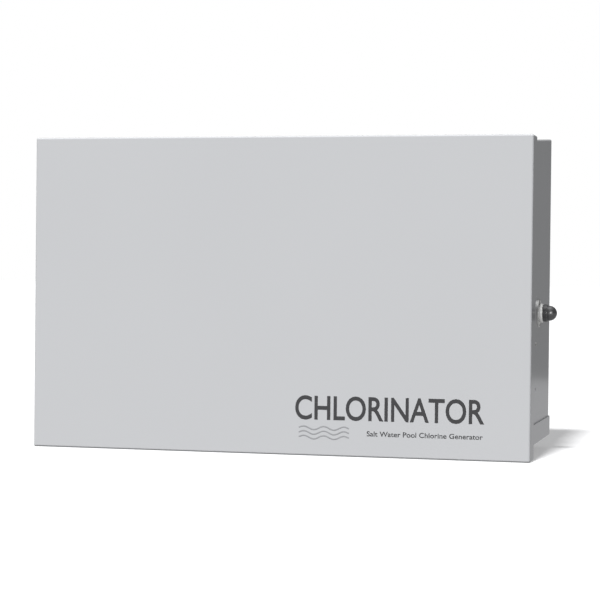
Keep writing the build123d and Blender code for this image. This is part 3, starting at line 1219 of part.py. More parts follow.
# ================================================================ the whole set
def all_parts():
    lower, upper = hinge_starts()
    parts = {
        "case_shell": make_case_shell(),
        "bottom_tray": make_bottom_tray(),
        "tray_screws": make_tray_screws(),
        "side_screws": make_side_screws(),
        "wall_bracket": make_wall_bracket(),
        "hanger_rail": make_hanger_rail(),
        "bracket_lock_screw": make_bracket_lock_screw(),
        "case_hinge_rivets": make_case_hinge_rivets(),
        "door_panel": make_door_panel(),
        "door_gasket": make_door_gasket(),
        "door_label": make_door_label(),
        "door_striker": make_door_striker(),
        "door_rivets": make_door_rivets(),
        "latch_rosette": make_latch_rosette(),
        "latch_bushing": make_latch_bushing(),
        "latch_nut": make_latch_nut(),
        "latch_knob": make_latch_knob(),
        "latch_shaft": make_latch_shaft(),
        "latch_pawl": make_latch_pawl(),
        "pawl_screw": make_pawl_screw(),
        "divider_shelf": make_divider_shelf(),
        "panel_posts": make_panel_posts(),
        "control_panel": make_control_panel(),
        "wiring_cover": make_wiring_cover(),
        "panel_screws": make_panel_screws(),
        "display_bezel": make_display_bezel(),
        "display_window": make_display_window(),
        "lcd_module": make_lcd_module(),
        "display_board": make_display_board(),
        "tact_switches": make_tact_switches(),
        "status_lenses": make_status_lenses(),
        "board_spacers": make_board_spacers(),
        "transformer_core": make_transformer_core(),
        "transformer_coil": make_transformer_coil(),
        "transformer_brackets": make_transformer_brackets(),
        "main_board": make_main_board(),
        "heat_sink": make_heat_sink(),
        "power_devices": make_power_devices(),
        "capacitors": make_capacitors(),
        "relays": make_relays(),
        "fuse_holder": make_fuse_holder(),
        "mains_terminal_block": make_mains_terminal_block(),
        "ground_bar": make_ground_bar(),
        "terminal_screws": make_terminal_screws(),
        "low_voltage_block": make_low_voltage_block(),
        "cell_socket": make_cell_socket(),
        "socket_nut": make_socket_nut(),
        "sensor_grommet": make_sensor_grommet(),
        "bonding_lug": make_bonding_lug(),
        "cell_leads": make_cell_leads(),
    }
    for name, z0 in (("lower", lower), ("upper", upper)):
        for owner in ("case", "door"):
            parts[f"{name}_hinge_{owner}_leaf"] = make_hinge_leaf(z0, owner)
        parts[f"{name}_hinge_pin"] = make_hinge_pin(z0)
    for name, x in zip(KEY_NAMES, key_x()):
        parts[f"{name}_key"] = make_key(x)
    return parts


os.makedirs("parts", exist_ok=True)
for node, shape in all_parts().items():
    shape.label = node
    export_step(shape, f"parts/{node}.step")
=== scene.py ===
"""Salt chlorine generator: the looks of its wall-hung power box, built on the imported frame."""
import math

import bpy
from mathutils import Matrix, Vector


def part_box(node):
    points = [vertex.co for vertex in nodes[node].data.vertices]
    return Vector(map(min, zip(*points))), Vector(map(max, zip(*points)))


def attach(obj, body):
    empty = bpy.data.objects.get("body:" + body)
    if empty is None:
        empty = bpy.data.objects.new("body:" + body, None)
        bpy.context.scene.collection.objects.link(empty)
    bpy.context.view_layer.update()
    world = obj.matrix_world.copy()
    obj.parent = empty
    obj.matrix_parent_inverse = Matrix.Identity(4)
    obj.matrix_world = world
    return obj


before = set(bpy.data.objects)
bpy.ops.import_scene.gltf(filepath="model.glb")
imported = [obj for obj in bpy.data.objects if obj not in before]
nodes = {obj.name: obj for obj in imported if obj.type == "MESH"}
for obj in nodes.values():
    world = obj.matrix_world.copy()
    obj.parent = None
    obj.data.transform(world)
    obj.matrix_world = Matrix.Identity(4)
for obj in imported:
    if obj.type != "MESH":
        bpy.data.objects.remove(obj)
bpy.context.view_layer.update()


# ---- Wall bracket and hanger rail ----------------------------------------------------------------
# Sheet steel, hot-dip galvanised, so it shows a spangle of flat grey crystals.  The bracket is screwed
# to the wall, and the rail is spot-welded to the back of the case and hooks over the bracket's tongue.
class Wire:
    """A shader output.  Arithmetic on it adds Math nodes, and node() adds a node of any other kind."""

    def __init__(self, tree, output=None):
        self.tree = tree
        self.output = output

    def node(self, kind, settings=None, inputs=None, out=0):
        made = self.tree.nodes.new("ShaderNode" + kind)
        for name, value in (settings or {}).items():
            if name == "stops":
                ramp = made.color_ramp.elements
                while len(ramp) < len(value):
                    ramp.new(0.5)
                for stop, (place, colour) in zip(ramp, value):
                    stop.position = place
                    stop.color = (*colour, 1.0)
            elif name == "steps":
                made.color_ramp.interpolation = value
            else:
                setattr(made, name, value)
        for name, value in (inputs or {}).items():
            if isinstance(value, Wire):
                self.tree.links.new(value.output, made.inputs[name])
            else:
                made.inputs[name].default_value = value
        return Wire(self.tree, made.outputs[out] if made.outputs else None)

    def math(self, operation, first, second=0.0):
        return self.node("Math", {"operation": operation}, {0: first, 1: second})

    def __add__(self, other):
        return self.math("ADD", self, other)

    def __radd__(self, other):
        return self.math("ADD", other, self)

    def __sub__(self, other):
        return self.math("SUBTRACT", self, other)

    def __rsub__(self, other):
        return self.math("SUBTRACT", other, self)

    def __mul__(self, other):
        return self.math("MULTIPLY", self, other)

    def __rmul__(self, other):
        return self.math("MULTIPLY", other, self)

    def place(self):
        """Where a point lies on the object, in metres."""
        return self.node("TexCoord", out=3)

    def along(self, axis):
        """How far a point lies along X, Y or Z, in metres."""
        return self.node("SeparateXYZ", {}, {0: self.place()}, out="XYZ".index(axis))

    def stretched(self, x, y, z):
        """The point's place with each axis scaled, for streaks."""
        return self.node("Mapping", {}, {"Vector": self.place(), "Scale": (x, y, z)})

    def noise(self, size, detail=2.0, roughness=0.5, where=None):
        """Smooth noise from 0 to 1 whose lumps are about that size in metres."""
        return self.node("TexNoise", {}, {"Vector": where or self.place(), "Scale": 1.0 / size,
                                          "Detail": detail, "Roughness": roughness})

    def cells(self, size, out=0):
        """Voronoi cells about that size in metres: 0 is the distance, 1 each cell's own colour."""
        return self.node("TexVoronoi", {}, {"Vector": self.place(), "Scale": 1.0 / size}, out=out)

    def ripple(self, axis, pitch):
        """Ridges across an axis, from -1 to 1, one every pitch metres."""
        return self.math("SINE", self.along(axis) * (math.tau / pitch))

    def beyond(self, axis, limit, width=0.0002):
        """0 below a limit along an axis and 1 above it, over a narrow band."""
        return self.node("MapRange", {}, {"Value": self.along(axis), "From Min": limit - width,
                                          "From Max": limit + width})

    def blend(self, share, first, second):
        """A colour that goes from first to second as share goes from 0 to 1."""
        first, second = [(*c, 1.0) if isinstance(c, tuple) else c for c in (first, second)]
        return self.node("Mix", {"data_type": "RGBA"}, {"Factor": share, 6: first, 7: second}, out=2)

    def bump(self, height, depth, strength=1.0):
        return self.node("Bump", {}, {"Height": height, "Distance": depth, "Strength": strength})


def new_finish(name):
    """An empty material, and a wire to draw its nodes with."""
    finish = bpy.data.materials.new(name)
    finish.use_nodes = True
    finish.node_tree.nodes.clear()
    return finish, Wire(finish.node_tree)


def shade(finish, wire, **sockets):
    """Ends a material in one Principled shader; socket names are written with _ for a space."""
    named = {name.replace("_", " "): value for name, value in sockets.items()}
    for name, value in named.items():
        if name.endswith("Color") and isinstance(value, tuple):
            named[name] = (*value, 1.0)
    surface = wire.node("BsdfPrincipled", {}, named)
    wire.node("OutputMaterial", {}, {"Surface": surface})
    return finish


def dress(finish, *names):
    """Gives CAD nodes a finish."""
    for name in names:
        slots = nodes[name].data.materials
        slots.clear()
        slots.append(finish)


def galvanised_steel():
    finish, w = new_finish("galvanised_steel")
    crystal = w.node("SeparateColor", {}, {0: w.cells(0.006, out=1)})
    tarnish = w.noise(0.03, 3.0)
    colour = w.blend(crystal * 0.7 + tarnish * 0.3, (0.40, 0.41, 0.42), (0.60, 0.61, 0.62))
    return shade(finish, w, Base_Color=colour, Metallic=0.9, Roughness=0.34 + 0.2 * crystal,
                 Normal=w.bump(w.cells(0.006), 0.00002, 0.4))


class Recipe:
    """A Geometry Nodes tree in the making.  Its named sizes are the modifier's inputs."""

    def __init__(self, name, **sizes):
        self.name = name
        self.sizes = sizes
        self.group = bpy.data.node_groups.new(name, "GeometryNodeTree")
        self.group.interface.new_socket("Geometry", in_out="OUTPUT", socket_type="NodeSocketGeometry")
        self.sockets = {}
        for size, value in sizes.items():
            kind = {int: "NodeSocketInt", float: "NodeSocketFloat"}.get(type(value), "NodeSocketVector")
            self.sockets[size] = self.group.interface.new_socket(size, in_out="INPUT", socket_type=kind)
        self.given = self.group.nodes.new("NodeGroupInput")

    def size(self, name):
        return self.given.outputs[name]

    def node(self, kind, settings=None, inputs=None, out=0):
        made = self.group.nodes.new(kind)
        for name, value in (settings or {}).items():
            setattr(made, name, value)
        for name, value in (inputs or {}).items():
            if isinstance(value, bpy.types.NodeSocket):
                self.group.links.new(value, made.inputs[name])
            else:
                made.inputs[name].default_value = value
        return made.outputs[out]

    def repeat(self, points, one):
        """One copy of a shape on each point."""
        return self.node("GeometryNodeInstanceOnPoints", {}, {"Points": points, "Instance": one})

    def join(self, *shapes):
        """Several shapes as one."""
        joined = self.group.nodes.new("GeometryNodeJoinGeometry")
        for shape in shapes:
            self.group.links.new(shape, joined.inputs[0])
        return joined.outputs[0]

    def make(self, geometry, finish, body):
        """Ends the tree, turns its result into a plain mesh and puts it on a body."""
        solid = self.node("GeometryNodeRealizeInstances", {}, {0: geometry})
        dressed = self.node("GeometryNodeSetMaterial", {}, {"Geometry": solid, "Material": finish})
        end = self.group.nodes.new("NodeGroupOutput")
        self.group.links.new(dressed, end.inputs[0])
        piece = bpy.data.objects.new(self.name, bpy.data.meshes.new(self.name))
        bpy.context.scene.collection.objects.link(piece)
        modifier = piece.modifiers.new("recipe", "NODES")
        modifier.node_group = self.group
        for size, value in self.sizes.items():
            modifier[self.sockets[size].identifier] = value
        ready = piece.evaluated_get(bpy.context.evaluated_depsgraph_get())
        mesh = bpy.data.meshes.new_from_object(ready)
        piece.modifiers.remove(modifier)
        piece.data = mesh
        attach(piece, body)
        return piece


def spot_welds(finish):
    """A row of shallow weld nuggets along the rail's upright flange."""
    low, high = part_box("hanger_rail")
    welds = 8
    step = (high.x - low.x) / welds
    rail_sheet = 0.0015
    below_edge = 0.006
    row = Recipe("rail_spot_welds", count=welds, radius=0.0028, step=step)
    start = (low.x + step / 2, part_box("case_shell")[1].y + rail_sheet, high.z - below_edge)
    spread = row.node("ShaderNodeCombineXYZ", {}, {"X": row.size("step")})
    line = row.node("GeometryNodeMeshLine", {}, {"Count": row.size("count"), "Start Location": start,
                                                 "Offset": spread})
    nugget = row.node("GeometryNodeMeshUVSphere", {}, {"Segments": 14, "Rings": 6,
                                                       "Radius": row.size("radius")})
    flat = row.node("GeometryNodeTransform", {}, {"Geometry": nugget, "Scale": (1.0, 0.12, 1.0)})
    return row.make(row.repeat(line, flat), finish, "case")


zinc_sheet = galvanised_steel()
dress(zinc_sheet, "wall_bracket", "hanger_rail")
spot_welds(zinc_sheet)


# ---- Enclosure: case and bottom tray -------------------------------------------------------------
# Folded sheet steel under a light grey, semi-gloss powder coat.  The coat levels into a faint orange
# peel, so it mirrors softly at a low angle, and its film is a little uneven from piece to piece.
def powder_coat():
    finish, w = new_finish("powder_coat_grey")
    drift = w.noise(0.16, 2.0)
    peel = w.noise(0.0011, 2.0, 0.55)
    colour = w.blend(drift, (0.590, 0.598, 0.612), (0.612, 0.620, 0.634))
    gloss = 0.15 + 0.04 * w.noise(0.03, 3.0)
    return shade(finish, w, Base_Color=colour, Roughness=gloss, Normal=w.bump(peel, 0.00001, 0.35))


coat = powder_coat()
dress(coat, "case_shell", "bottom_tray")


# ---- Screws, rivets, pins and plain brackets -----------------------------------------------------
# Zinc-plated steel with a thin clear chromate, a little cloudy all over.  The hinge leaves, shelf,
# striker, hook and transformer brackets are cut from the same galvanised sheet as the wall bracket.
def plated_steel():
    finish, w = new_finish("plated_steel")
    cloud = w.noise(0.002, 4.0, 0.6)
    colour = w.blend(cloud, (0.50, 0.50, 0.47), (0.68, 0.68, 0.66))
    return shade(finish, w, Base_Color=colour, Metallic=1.0, Roughness=0.24 + 0.22 * cloud,
                 Normal=w.bump(w.noise(0.0003, 2.0), 0.00001, 0.3))


plating = plated_steel()
dress(plating, "tray_screws", "side_screws", "bracket_lock_screw", "case_hinge_rivets", "door_rivets",
      "panel_screws", "terminal_screws", "pawl_screw", "latch_nut", "latch_shaft", "lower_hinge_pin",
      "upper_hinge_pin")
dress(zinc_sheet, "lower_hinge_case_leaf", "upper_hinge_case_leaf", "lower_hinge_door_leaf",
      "upper_hinge_door_leaf", "divider_shelf", "transformer_brackets", "door_striker", "latch_pawl")


# ---- Fittings in the tray: cell socket, its nut, grommet and bonding lug -------------------------
# The socket and its ribbed nut are moulded in black glass-filled nylon, the grommet is soft rubber,
# and the lug is a drawn brass block with a clamp screw from below.
def moulded(name, colour, gloss=0.42, grain=0.0006, depth=0.00002):
    """Moulded plastic or rubber with a fine spark-eroded texture."""
    finish, w = new_finish(name)
    lift = tuple(min(1.0, c * 1.25 + 0.004) for c in colour)
    mottle = w.noise(0.012, 3.0)
    texture = w.noise(grain, 3.0, 0.6)
    return shade(finish, w, Base_Color=w.blend(mottle, colour, lift), Roughness=gloss + 0.12 * texture,
                 Normal=w.bump(texture, depth, 0.5))


def drawn_brass():
    finish, w = new_finish("drawn_brass")
    streak = w.noise(0.0006, 3.0, 0.6, w.stretched(0.04, 1.0, 1.0))
    colour = w.blend(streak, (0.56, 0.40, 0.14), (0.78, 0.60, 0.27))
    return shade(finish, w, Base_Color=colour, Metallic=1.0, Roughness=0.26 + 0.2 * streak,
                 Normal=w.bump(streak, 0.00001, 0.4))


def socket_contacts(finish):
    """Sleeves of plated brass round the socket's four pins."""
    low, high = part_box("cell_socket")
    recess = 0.0072
    ring = Recipe("socket_contact_sleeves", ring=0.0065, radius=0.0018, length=0.0052)
    circle = ring.node("GeometryNodeMeshCircle", {}, {"Vertices": 4, "Radius": ring.size("ring")})
    middle = ((low.x + high.x) / 2, (low.y + high.y) / 2, low.z + recess)
    turned = ring.node("GeometryNodeTransform", {}, {"Geometry": circle, "Translation": middle,
                                                     "Rotation": (0.0, 0.0, math.radians(45))})
    sleeve = ring.node("GeometryNodeMeshCylinder", {}, {"Vertices": 24, "Radius": ring.size("radius"),
                                                        "Depth": ring.size("length")})
    return ring.make(ring.repeat(turned, sleeve), finish, "case")


black_nylon = moulded("black_nylon", (0.017, 0.017, 0.019))
brass = drawn_brass()
dress(black_nylon, "cell_socket", "socket_nut", "board_spacers", "tact_switches", "power_devices")
dress(moulded("grommet_rubber", (0.022, 0.022, 0.023), 0.72, 0.0009, 0.00003), "sensor_grommet")
dress(brass, "bonding_lug", "panel_posts", "ground_bar")
socket_contacts(brass)


# ---- Transformer ---------------------------------------------------------------------------------
# Varnished silicon-steel laminations clamped by four bolts.  The winding is enamelled copper under
# yellow polyester tape, wound through the core's two windows.
def laminations():
    finish, w = new_finish("core_laminations")
    leaves = w.ripple("Y", 0.0007)
    varnish = w.noise(0.008, 4.0, 0.6)
    colour = w.blend(varnish, (0.055, 0.050, 0.048), (0.13, 0.115, 0.10))
    return shade(finish, w, Base_Color=colour, Metallic=0.55, Roughness=0.38 + 0.2 * varnish,
                 Normal=w.bump(leaves, 0.00008, 0.8))


def winding_tape():
    finish, w = new_finish("winding_tape")
    wraps = w.ripple("Z", 0.0085)
    wrinkle = w.noise(0.004, 4.0, 0.6)
    colour = w.blend(wraps * 0.25 + wrinkle * 0.6, (0.60, 0.36, 0.05), (0.80, 0.56, 0.13))
    return shade(finish, w, Base_Color=colour, Roughness=0.26 + 0.12 * wrinkle, Coat_Weight=0.4,
                 Normal=w.bump(wraps * 0.6 + wrinkle, 0.00016, 0.7))


def enamelled_copper():
    finish, w = new_finish("enamelled_copper")
    tone = w.noise(0.003, 3.0)
    colour = w.blend(tone, (0.36, 0.12, 0.045), (0.58, 0.22, 0.08))
    return shade(finish, w, Base_Color=colour, Metallic=0.85, Roughness=0.22 + 0.1 * tone, Coat_Weight=0.6)


def copper_turns(finish):
    """The outer layer of wire, which shows below and above the tape as a stack of rounded loops."""
    low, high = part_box("transformer_coil")
    middle = (low + high) / 2
    wire = 0.0007
    proud = 0.0002
    turns = 6
    end_gap = 0.001
    stack = Recipe("coil_copper_turns", wire=wire, width=high.x - low.x + proud,
                   depth=high.y - low.y + proud, corner=0.0068)
    loop = stack.node("GeometryNodeCurvePrimitiveQuadrilateral", {},
                      {"Width": stack.size("width"), "Height": stack.size("depth")})
    path = stack.node("GeometryNodeFilletCurve", {}, {"Curve": loop, "Radius": stack.size("corner")})
    for socket in path.node.inputs:
        if socket.name == "Count":
            socket.default_value = 6
        if socket.name == "Mode":
            socket.default_value = "Poly"
    round_wire = stack.node("GeometryNodeCurvePrimitiveCircle", {}, {"Resolution": 8,
                                                                     "Radius": stack.size("wire")})
    turn = stack.node("GeometryNodeCurveToMesh", {}, {"Curve": path, "Profile Curve": round_wire})
    bands = []
    for bottom in (low.z + end_gap, high.z - end_gap - (turns - 1) * 2 * wire):
        line = stack.node("GeometryNodeMeshLine", {}, {"Count": turns, "Offset": (0.0, 0.0, 2 * wire),
                                                       "Start Location": (middle.x, middle.y, bottom)})
        bands.append(stack.repeat(line, turn))
    return stack.make(stack.join(*bands), finish, "case")


def core_bolts(finish):
    """A hexagonal bolt head and a nut at each corner of the core, on both of its faces."""
    low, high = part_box("transformer_core")
    inset = 0.005
    thick = 0.0026
    grid = Recipe("core_clamp_bolts", across=high.x - low.x - 2 * inset, up=high.z - low.z - 2 * inset,
                  head=0.0042, thick=thick)
    plate = grid.node("GeometryNodeMeshGrid", {}, {"Size X": grid.size("across"), "Size Y": grid.size("up"),
                                                   "Vertices X": 2, "Vertices Y": 2})
    middle = (low + high) / 2
    bolt = grid.node("GeometryNodeMeshCylinder", {}, {"Vertices": 6, "Radius": grid.size("head"),
                                                      "Depth": grid.size("thick")})
    faces = []
    for y in (low.y - thick / 2, high.y + thick / 2):
        faces.append(grid.node("GeometryNodeTransform", {}, {"Geometry": grid.repeat(plate, bolt),
                                                             "Translation": (middle.x, y, middle.z),
                                                             "Rotation": (math.pi / 2, 0.0, 0.0)}))
    return grid.make(grid.join(*faces), finish, "case")


dress(laminations(), "transformer_core")
dress(winding_tape(), "transformer_coil")
copper_turns(enamelled_copper())
core_bolts(plating)


# ---- Circuit boards and what is soldered to them -------------------------------------------------
# Glass-fibre boards under green solder mask, with copper tracks showing through it.  Small parts are
# set in rows by machine; the tall ones are the heat sink, cans, relays and the fuse holder.
def solder_mask():
    finish, w = new_finish("solder_mask_green")
    board_plane = w.node("CombineXYZ", {}, {"X": w.along("X"), "Y": w.along("Z")})
    tracks = w.node("TexBrick", {"offset": 0.35, "squash": 1.7},
                    {"Vector": board_plane, "Scale": 1.0, "Mortar Size": 0.00045, "Brick Width": 0.0061,
                     "Row Height": 0.0021, "Mortar Smooth": 0.1}, out=1)
    patch = w.math("GREATER_THAN", w.noise(0.021, 1.0), 0.5)
    copper = tracks * patch
    colour = w.blend(copper, (0.010, 0.115, 0.042), (0.045, 0.235, 0.075))
    return shade(finish, w, Base_Color=colour, Roughness=0.3 + 0.1 * w.noise(0.004), Coat_Weight=0.35,
                 Normal=w.bump(copper, 0.00003, 0.6))


def small_parts(name, board, face_y, finish, seed, size, pitch, share):
    """Rows of one kind of small part on a board's face: a random share of the places is filled."""
    low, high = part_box(board)
    edge = 0.007
    across = high.x - low.x - 2 * edge
    up = high.z - low.z - 2 * edge
    rows = Recipe(name, across=across, up=up, share=share, seed=seed, part=size)
    grid = rows.node("GeometryNodeMeshGrid", {}, {"Size X": rows.size("across"), "Size Y": rows.size("up"),
                                                  "Vertices X": int(across / pitch[0]),
                                                  "Vertices Y": int(up / pitch[1])})
    chance = rows.node("FunctionNodeRandomValue", {"data_type": "FLOAT"}, {"Seed": rows.size("seed")}, out=1)
    drop = rows.node("FunctionNodeCompare", {"operation": "GREATER_THAN"},
                     {0: chance, 1: rows.size("share")})
    kept = rows.node("GeometryNodeDeleteGeometry", {"domain": "POINT"},
                     {"Geometry": grid, "Selection": drop})
    one = rows.node("GeometryNodeMeshCube", {}, {"Size": rows.size("part")})
    upright = rows.node("GeometryNodeTransform", {}, {
        "Geometry": rows.repeat(kept, one), "Rotation": (math.pi / 2, 0.0, 0.0),
        "Translation": ((low.x + high.x) / 2, face_y - size[2] / 2, (low.z + high.z) / 2)})
    return rows.make(upright, finish, "case")


def tinned():
    finish, w = new_finish("tinned_solder")
    cloud = w.noise(0.0015, 3.0)
    return shade(finish, w, Base_Color=w.blend(cloud, (0.55, 0.55, 0.54), (0.72, 0.72, 0.71)), Metallic=1.0,
                 Roughness=0.25 + 0.2 * cloud)


def cast_fins():
    """Extruded aluminium: fine die lines run up the fins."""
    finish, w = new_finish("extruded_aluminium")
    lines = w.noise(0.0005, 3.0, 0.6, w.stretched(1.0, 1.0, 0.03))
    colour = w.blend(lines, (0.60, 0.60, 0.61), (0.78, 0.78, 0.79))
    return shade(finish, w, Base_Color=colour, Metallic=1.0, Roughness=0.3 + 0.16 * lines,
                 Normal=w.bump(lines, 0.00002, 0.5))


def can_sleeve():
    """A dark blue shrink sleeve with a pale minus stripe, open over the can's aluminium top."""
    low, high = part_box("capacitors")
    finish, w = new_finish("capacitor_sleeve")
    radius = (high.z - low.z) / 2
    stripe_half = 0.0028
    rim = 0.0012
    side = w.math("ABSOLUTE", w.along("Z") - (low.z + radius))
    stripe = w.math("LESS_THAN", side, stripe_half) * w.math("GREATER_THAN", w.ripple("Y", 0.009), -0.5)
    blue = w.blend(stripe, (0.012, 0.022, 0.075), (0.55, 0.58, 0.62))
    top = 1.0 - w.beyond("Y", low.y + rim)
    score = w.math("ABSOLUTE", w.ripple("Z", radius * 4))
    return shade(finish, w, Base_Color=w.blend(top, blue, (0.66, 0.66, 0.67)), Metallic=top, Roughness=0.24,
                 Normal=w.bump(top * score, 0.00015, 0.5))


def relay_case():
    finish, w = new_finish("relay_case_blue")
    texture = w.noise(0.0008, 3.0)
    return shade(finish, w, Base_Color=w.blend(texture, (0.020, 0.080, 0.26), (0.030, 0.105, 0.31)),
                 Roughness=0.32 + 0.1 * texture, Normal=w.bump(texture, 0.00002, 0.4))


green_mask = solder_mask()
dress(green_mask, "main_board", "display_board")
dress(cast_fins(), "heat_sink")
dress(can_sleeve(), "capacitors")
dress(relay_case(), "relays")
dress(moulded("fuse_holder_black", (0.03, 0.03, 0.031), 0.3), "fuse_holder")
chip_black = moulded("chip_black", (0.024, 0.024, 0.026), 0.5)
board_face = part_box("main_board")[0].y
display_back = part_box("display_board")[1].y
chip_stands = 0.0024
resistors = small_parts("main_board_resistors", "main_board", board_face, chip_black, 7,
                        (0.0034, 0.0017, 0.0009), (0.0095, 0.0085), 0.34)
pads = small_parts("main_board_solder_joints", "main_board", board_face, tinned(), 21,
                   (0.0012, 0.0012, 0.0005), (0.0047, 0.0042), 0.24)
chips = small_parts("display_board_chips", "display_board", display_back + chip_stands, chip_black, 3,
                    (0.0085, 0.0062, 0.0022), (0.020, 0.018), 0.4)


# ---- Wiring bay: terminal strips, leads and their numbers ----------------------------------------
# The mains strip is black phenolic with raised walls, the low-voltage plugs are green, and the leads
# to the cell are silicone-covered.  The mains poles' numbers are printed in white along the top of the
# wiring cover.
def printed_ink(name, colour, gloss=0.5):
    finish, w = new_finish(name)
    film = w.noise(0.0012, 3.0, 0.6)
    worn = tuple(c * 0.9 for c in colour)
    return shade(finish, w, Base_Color=w.blend(film, worn, colour), Roughness=gloss + 0.1 * film)


def keep(name, mesh, finish, body):
    """Links a finished mesh as one piece that rides on a body."""
    mesh.materials.clear()
    mesh.materials.append(finish)
    piece = bpy.data.objects.new(name, mesh)
    bpy.context.scene.collection.objects.link(piece)
    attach(piece, body)
    return piece


def lettering(words, corner, height, width=None, across=(1, 0, 0), up=(0, 0, 1), thick=0.00005,
              centred=False, bold=0.0):
    """A mesh of plain printed words.  Corner is the lower left of the first letter, or with centred
    the middle of the line; height is a capital's, width stretches the line to fit, and bold widens
    the strokes."""
    curve = bpy.data.curves.new("words", "FONT")
    curve.body = words
    curve.size = 1.0
    curve.extrude = 0.01
    curve.resolution_u = 5
    curve.offset = bold
    holder = bpy.data.objects.new("words", curve)
    bpy.context.scene.collection.objects.link(holder)
    ready = holder.evaluated_get(bpy.context.evaluated_depsgraph_get())
    mesh = bpy.data.meshes.new_from_object(ready)
    bpy.data.objects.remove(holder)
    capital = 0.729
    left = min(v.co.x for v in mesh.vertices)
    line = max(v.co.x for v in mesh.vertices) - left
    tall = height / capital
    wide = width / line if width else tall
    across, up = Vector(across), Vector(up)
    out = across.cross(up)
    start = Vector(corner) - (across * line * wide / 2 if centred else Vector())
    for v in mesh.vertices:
        front = thick if v.co.z > 0 else 0.0
        v.co = start + across * (v.co.x - left) * wide + up * v.co.y * tall + out * front
    return mesh


def merged(meshes):
    """Several meshes as one."""
    points, faces = [], []
    for mesh in meshes:
        first = len(points)
        points += [v.co.copy() for v in mesh.vertices]
        faces += [[first + i for i in face.vertices] for face in mesh.polygons]
    whole = bpy.data.meshes.new("merged")
    whole.from_pydata(points, [], faces)
    return whole


white_ink = printed_ink("white_ink", (0.74, 0.75, 0.76))
black_ink = printed_ink("black_ink", (0.03, 0.03, 0.032))
dress(moulded("phenolic_black", (0.020, 0.019, 0.019), 0.34), "mains_terminal_block")
dress(moulded("plug_green", (0.014, 0.19, 0.058), 0.36), "low_voltage_block")
dress(moulded("lead_silicone_red", (0.36, 0.018, 0.014), 0.42, 0.0012), "cell_leads")

strip_low, strip_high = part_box("mains_terminal_block")
cover_low, cover_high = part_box("wiring_cover")
ink_lift = 0.00002
poles = 6
pole = (strip_high.x - strip_low.x) / poles
number_drop = 0.011
numbers = []
for i in range(poles):
    middle = (strip_low.x + (i + 0.5) * pole, cover_low.y - ink_lift, cover_high.z - number_drop)
    numbers.append(lettering(str(i + 1), middle, 0.0042, centred=True))
keep("cover_pole_numbers", merged(numbers), white_ink, "case")


def plug_screws(finish):
    """The clamp screw in the round entry of each low-voltage pole."""
    low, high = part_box("low_voltage_block")
    plugs = 8
    step = (high.x - low.x) / plugs
    sunk = 0.0016
    below_top = 0.0045
    row = Recipe("low_voltage_clamp_screws", count=plugs, head=0.0019, step=step)
    spread = row.node("ShaderNodeCombineXYZ", {}, {"X": row.size("step")})
    start = (low.x + step / 2, low.y + sunk, high.z - below_top)
    line = row.node("GeometryNodeMeshLine", {}, {"Count": row.size("count"), "Start Location": start,
                                                 "Offset": spread})
    head = row.node("GeometryNodeMeshCylinder", {}, {"Vertices": 20, "Radius": row.size("head"),
                                                     "Depth": 0.0012})
    slot = row.node("GeometryNodeMeshCube", {}, {"Size": (0.0046, 0.0006, 0.0012)})
    placed = row.node("GeometryNodeTransform", {}, {"Geometry": slot, "Translation": (0.0, 0.0, 0.0004)})
    cut = row.node("GeometryNodeMeshBoolean", {"operation": "DIFFERENCE"},
                   {"Mesh 1": head, "Mesh 2": placed})
    facing = row.node("GeometryNodeTransform", {}, {"Geometry": cut, "Rotation": (math.pi / 2, 0.0, 0.0)})
    return row.make(row.repeat(line, facing), finish, "case")


plug_screws(plating)


# ---- Control panel, display and keys -------------------------------------------------------------
# The panel and the wiring cover are steel under a fine-textured slate paint, printed in white.  The
# display sits behind a clear window, and the keys are grey rubber caps with moulded marks.
def slate_paint():
    finish, w = new_finish("slate_texture_paint")
    grain = w.noise(0.0009, 3.0, 0.65)
    colour = w.blend(grain, (0.055, 0.066, 0.084), (0.082, 0.096, 0.118))
    return shade(finish, w, Base_Color=colour, Roughness=0.46 + 0.16 * grain,
                 Normal=w.bump(grain, 0.00009, 0.7))


def clear_window():
    finish, w = new_finish("clear_window")
    smear = w.noise(0.01, 3.0)
    return shade(finish, w, Base_Color=(0.90, 0.93, 0.92), Roughness=0.04 + 0.05 * smear, Alpha=0.16,
                 IOR=1.49)


def liquid_crystal():
    """A grey-green reflective display with its fine square cell pattern, which also gives off a faint
    painted glow in its own colour.
    """
    finish, w = new_finish("liquid_crystal")
    cell = w.math("MAXIMUM", w.ripple("X", 0.0007), w.ripple("Z", 0.0007))
    grid = w.math("GREATER_THAN", cell, 0.92)
    colour = w.blend(grid, (0.330, 0.420, 0.180), (0.285, 0.365, 0.150))
    # The emission is painted light: a reflective display has no lamp of its own.
    return shade(finish, w, Base_Color=colour, Roughness=0.3 + 0.05 * w.noise(0.01), Emission_Color=colour,
                 Emission_Strength=0.12)


def status_lights():
    """Diffused lamps: the lowest is red, the one above it amber and the rest green."""
    low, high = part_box("status_lenses")
    finish, w = new_finish("status_lights")
    height = w.node("MapRange", {}, {"Value": w.along("Z"), "From Min": low.z, "From Max": high.z})
    red, amber, green = (0.55, 0.030, 0.020), (0.70, 0.30, 0.02), (0.05, 0.42, 0.10)
    stops = [(0.0, red), (0.18, amber), (0.36, green)]
    colour = w.node("ValToRGB", {"steps": "CONSTANT", "stops": stops}, {"Fac": height})
    frost = w.noise(0.0008, 2.0)
    return shade(finish, w, Base_Color=colour, Roughness=0.16 + 0.08 * frost, Coat_Weight=0.5,
                 Emission_Color=colour, Emission_Strength=0.25)


slate = slate_paint()
dress(slate, "control_panel", "wiring_cover")
dress(moulded("bezel_black", (0.016, 0.016, 0.018), 0.38, 0.0005), "display_bezel")
dress(clear_window(), "display_window")
dress(liquid_crystal(), "lcd_module")
dress(status_lights(), "status_lenses")
dress(moulded("key_rubber_grey", (0.36, 0.39, 0.43), 0.58, 0.0007), "left_key", "right_key", "menu_key",
      "enter_key")

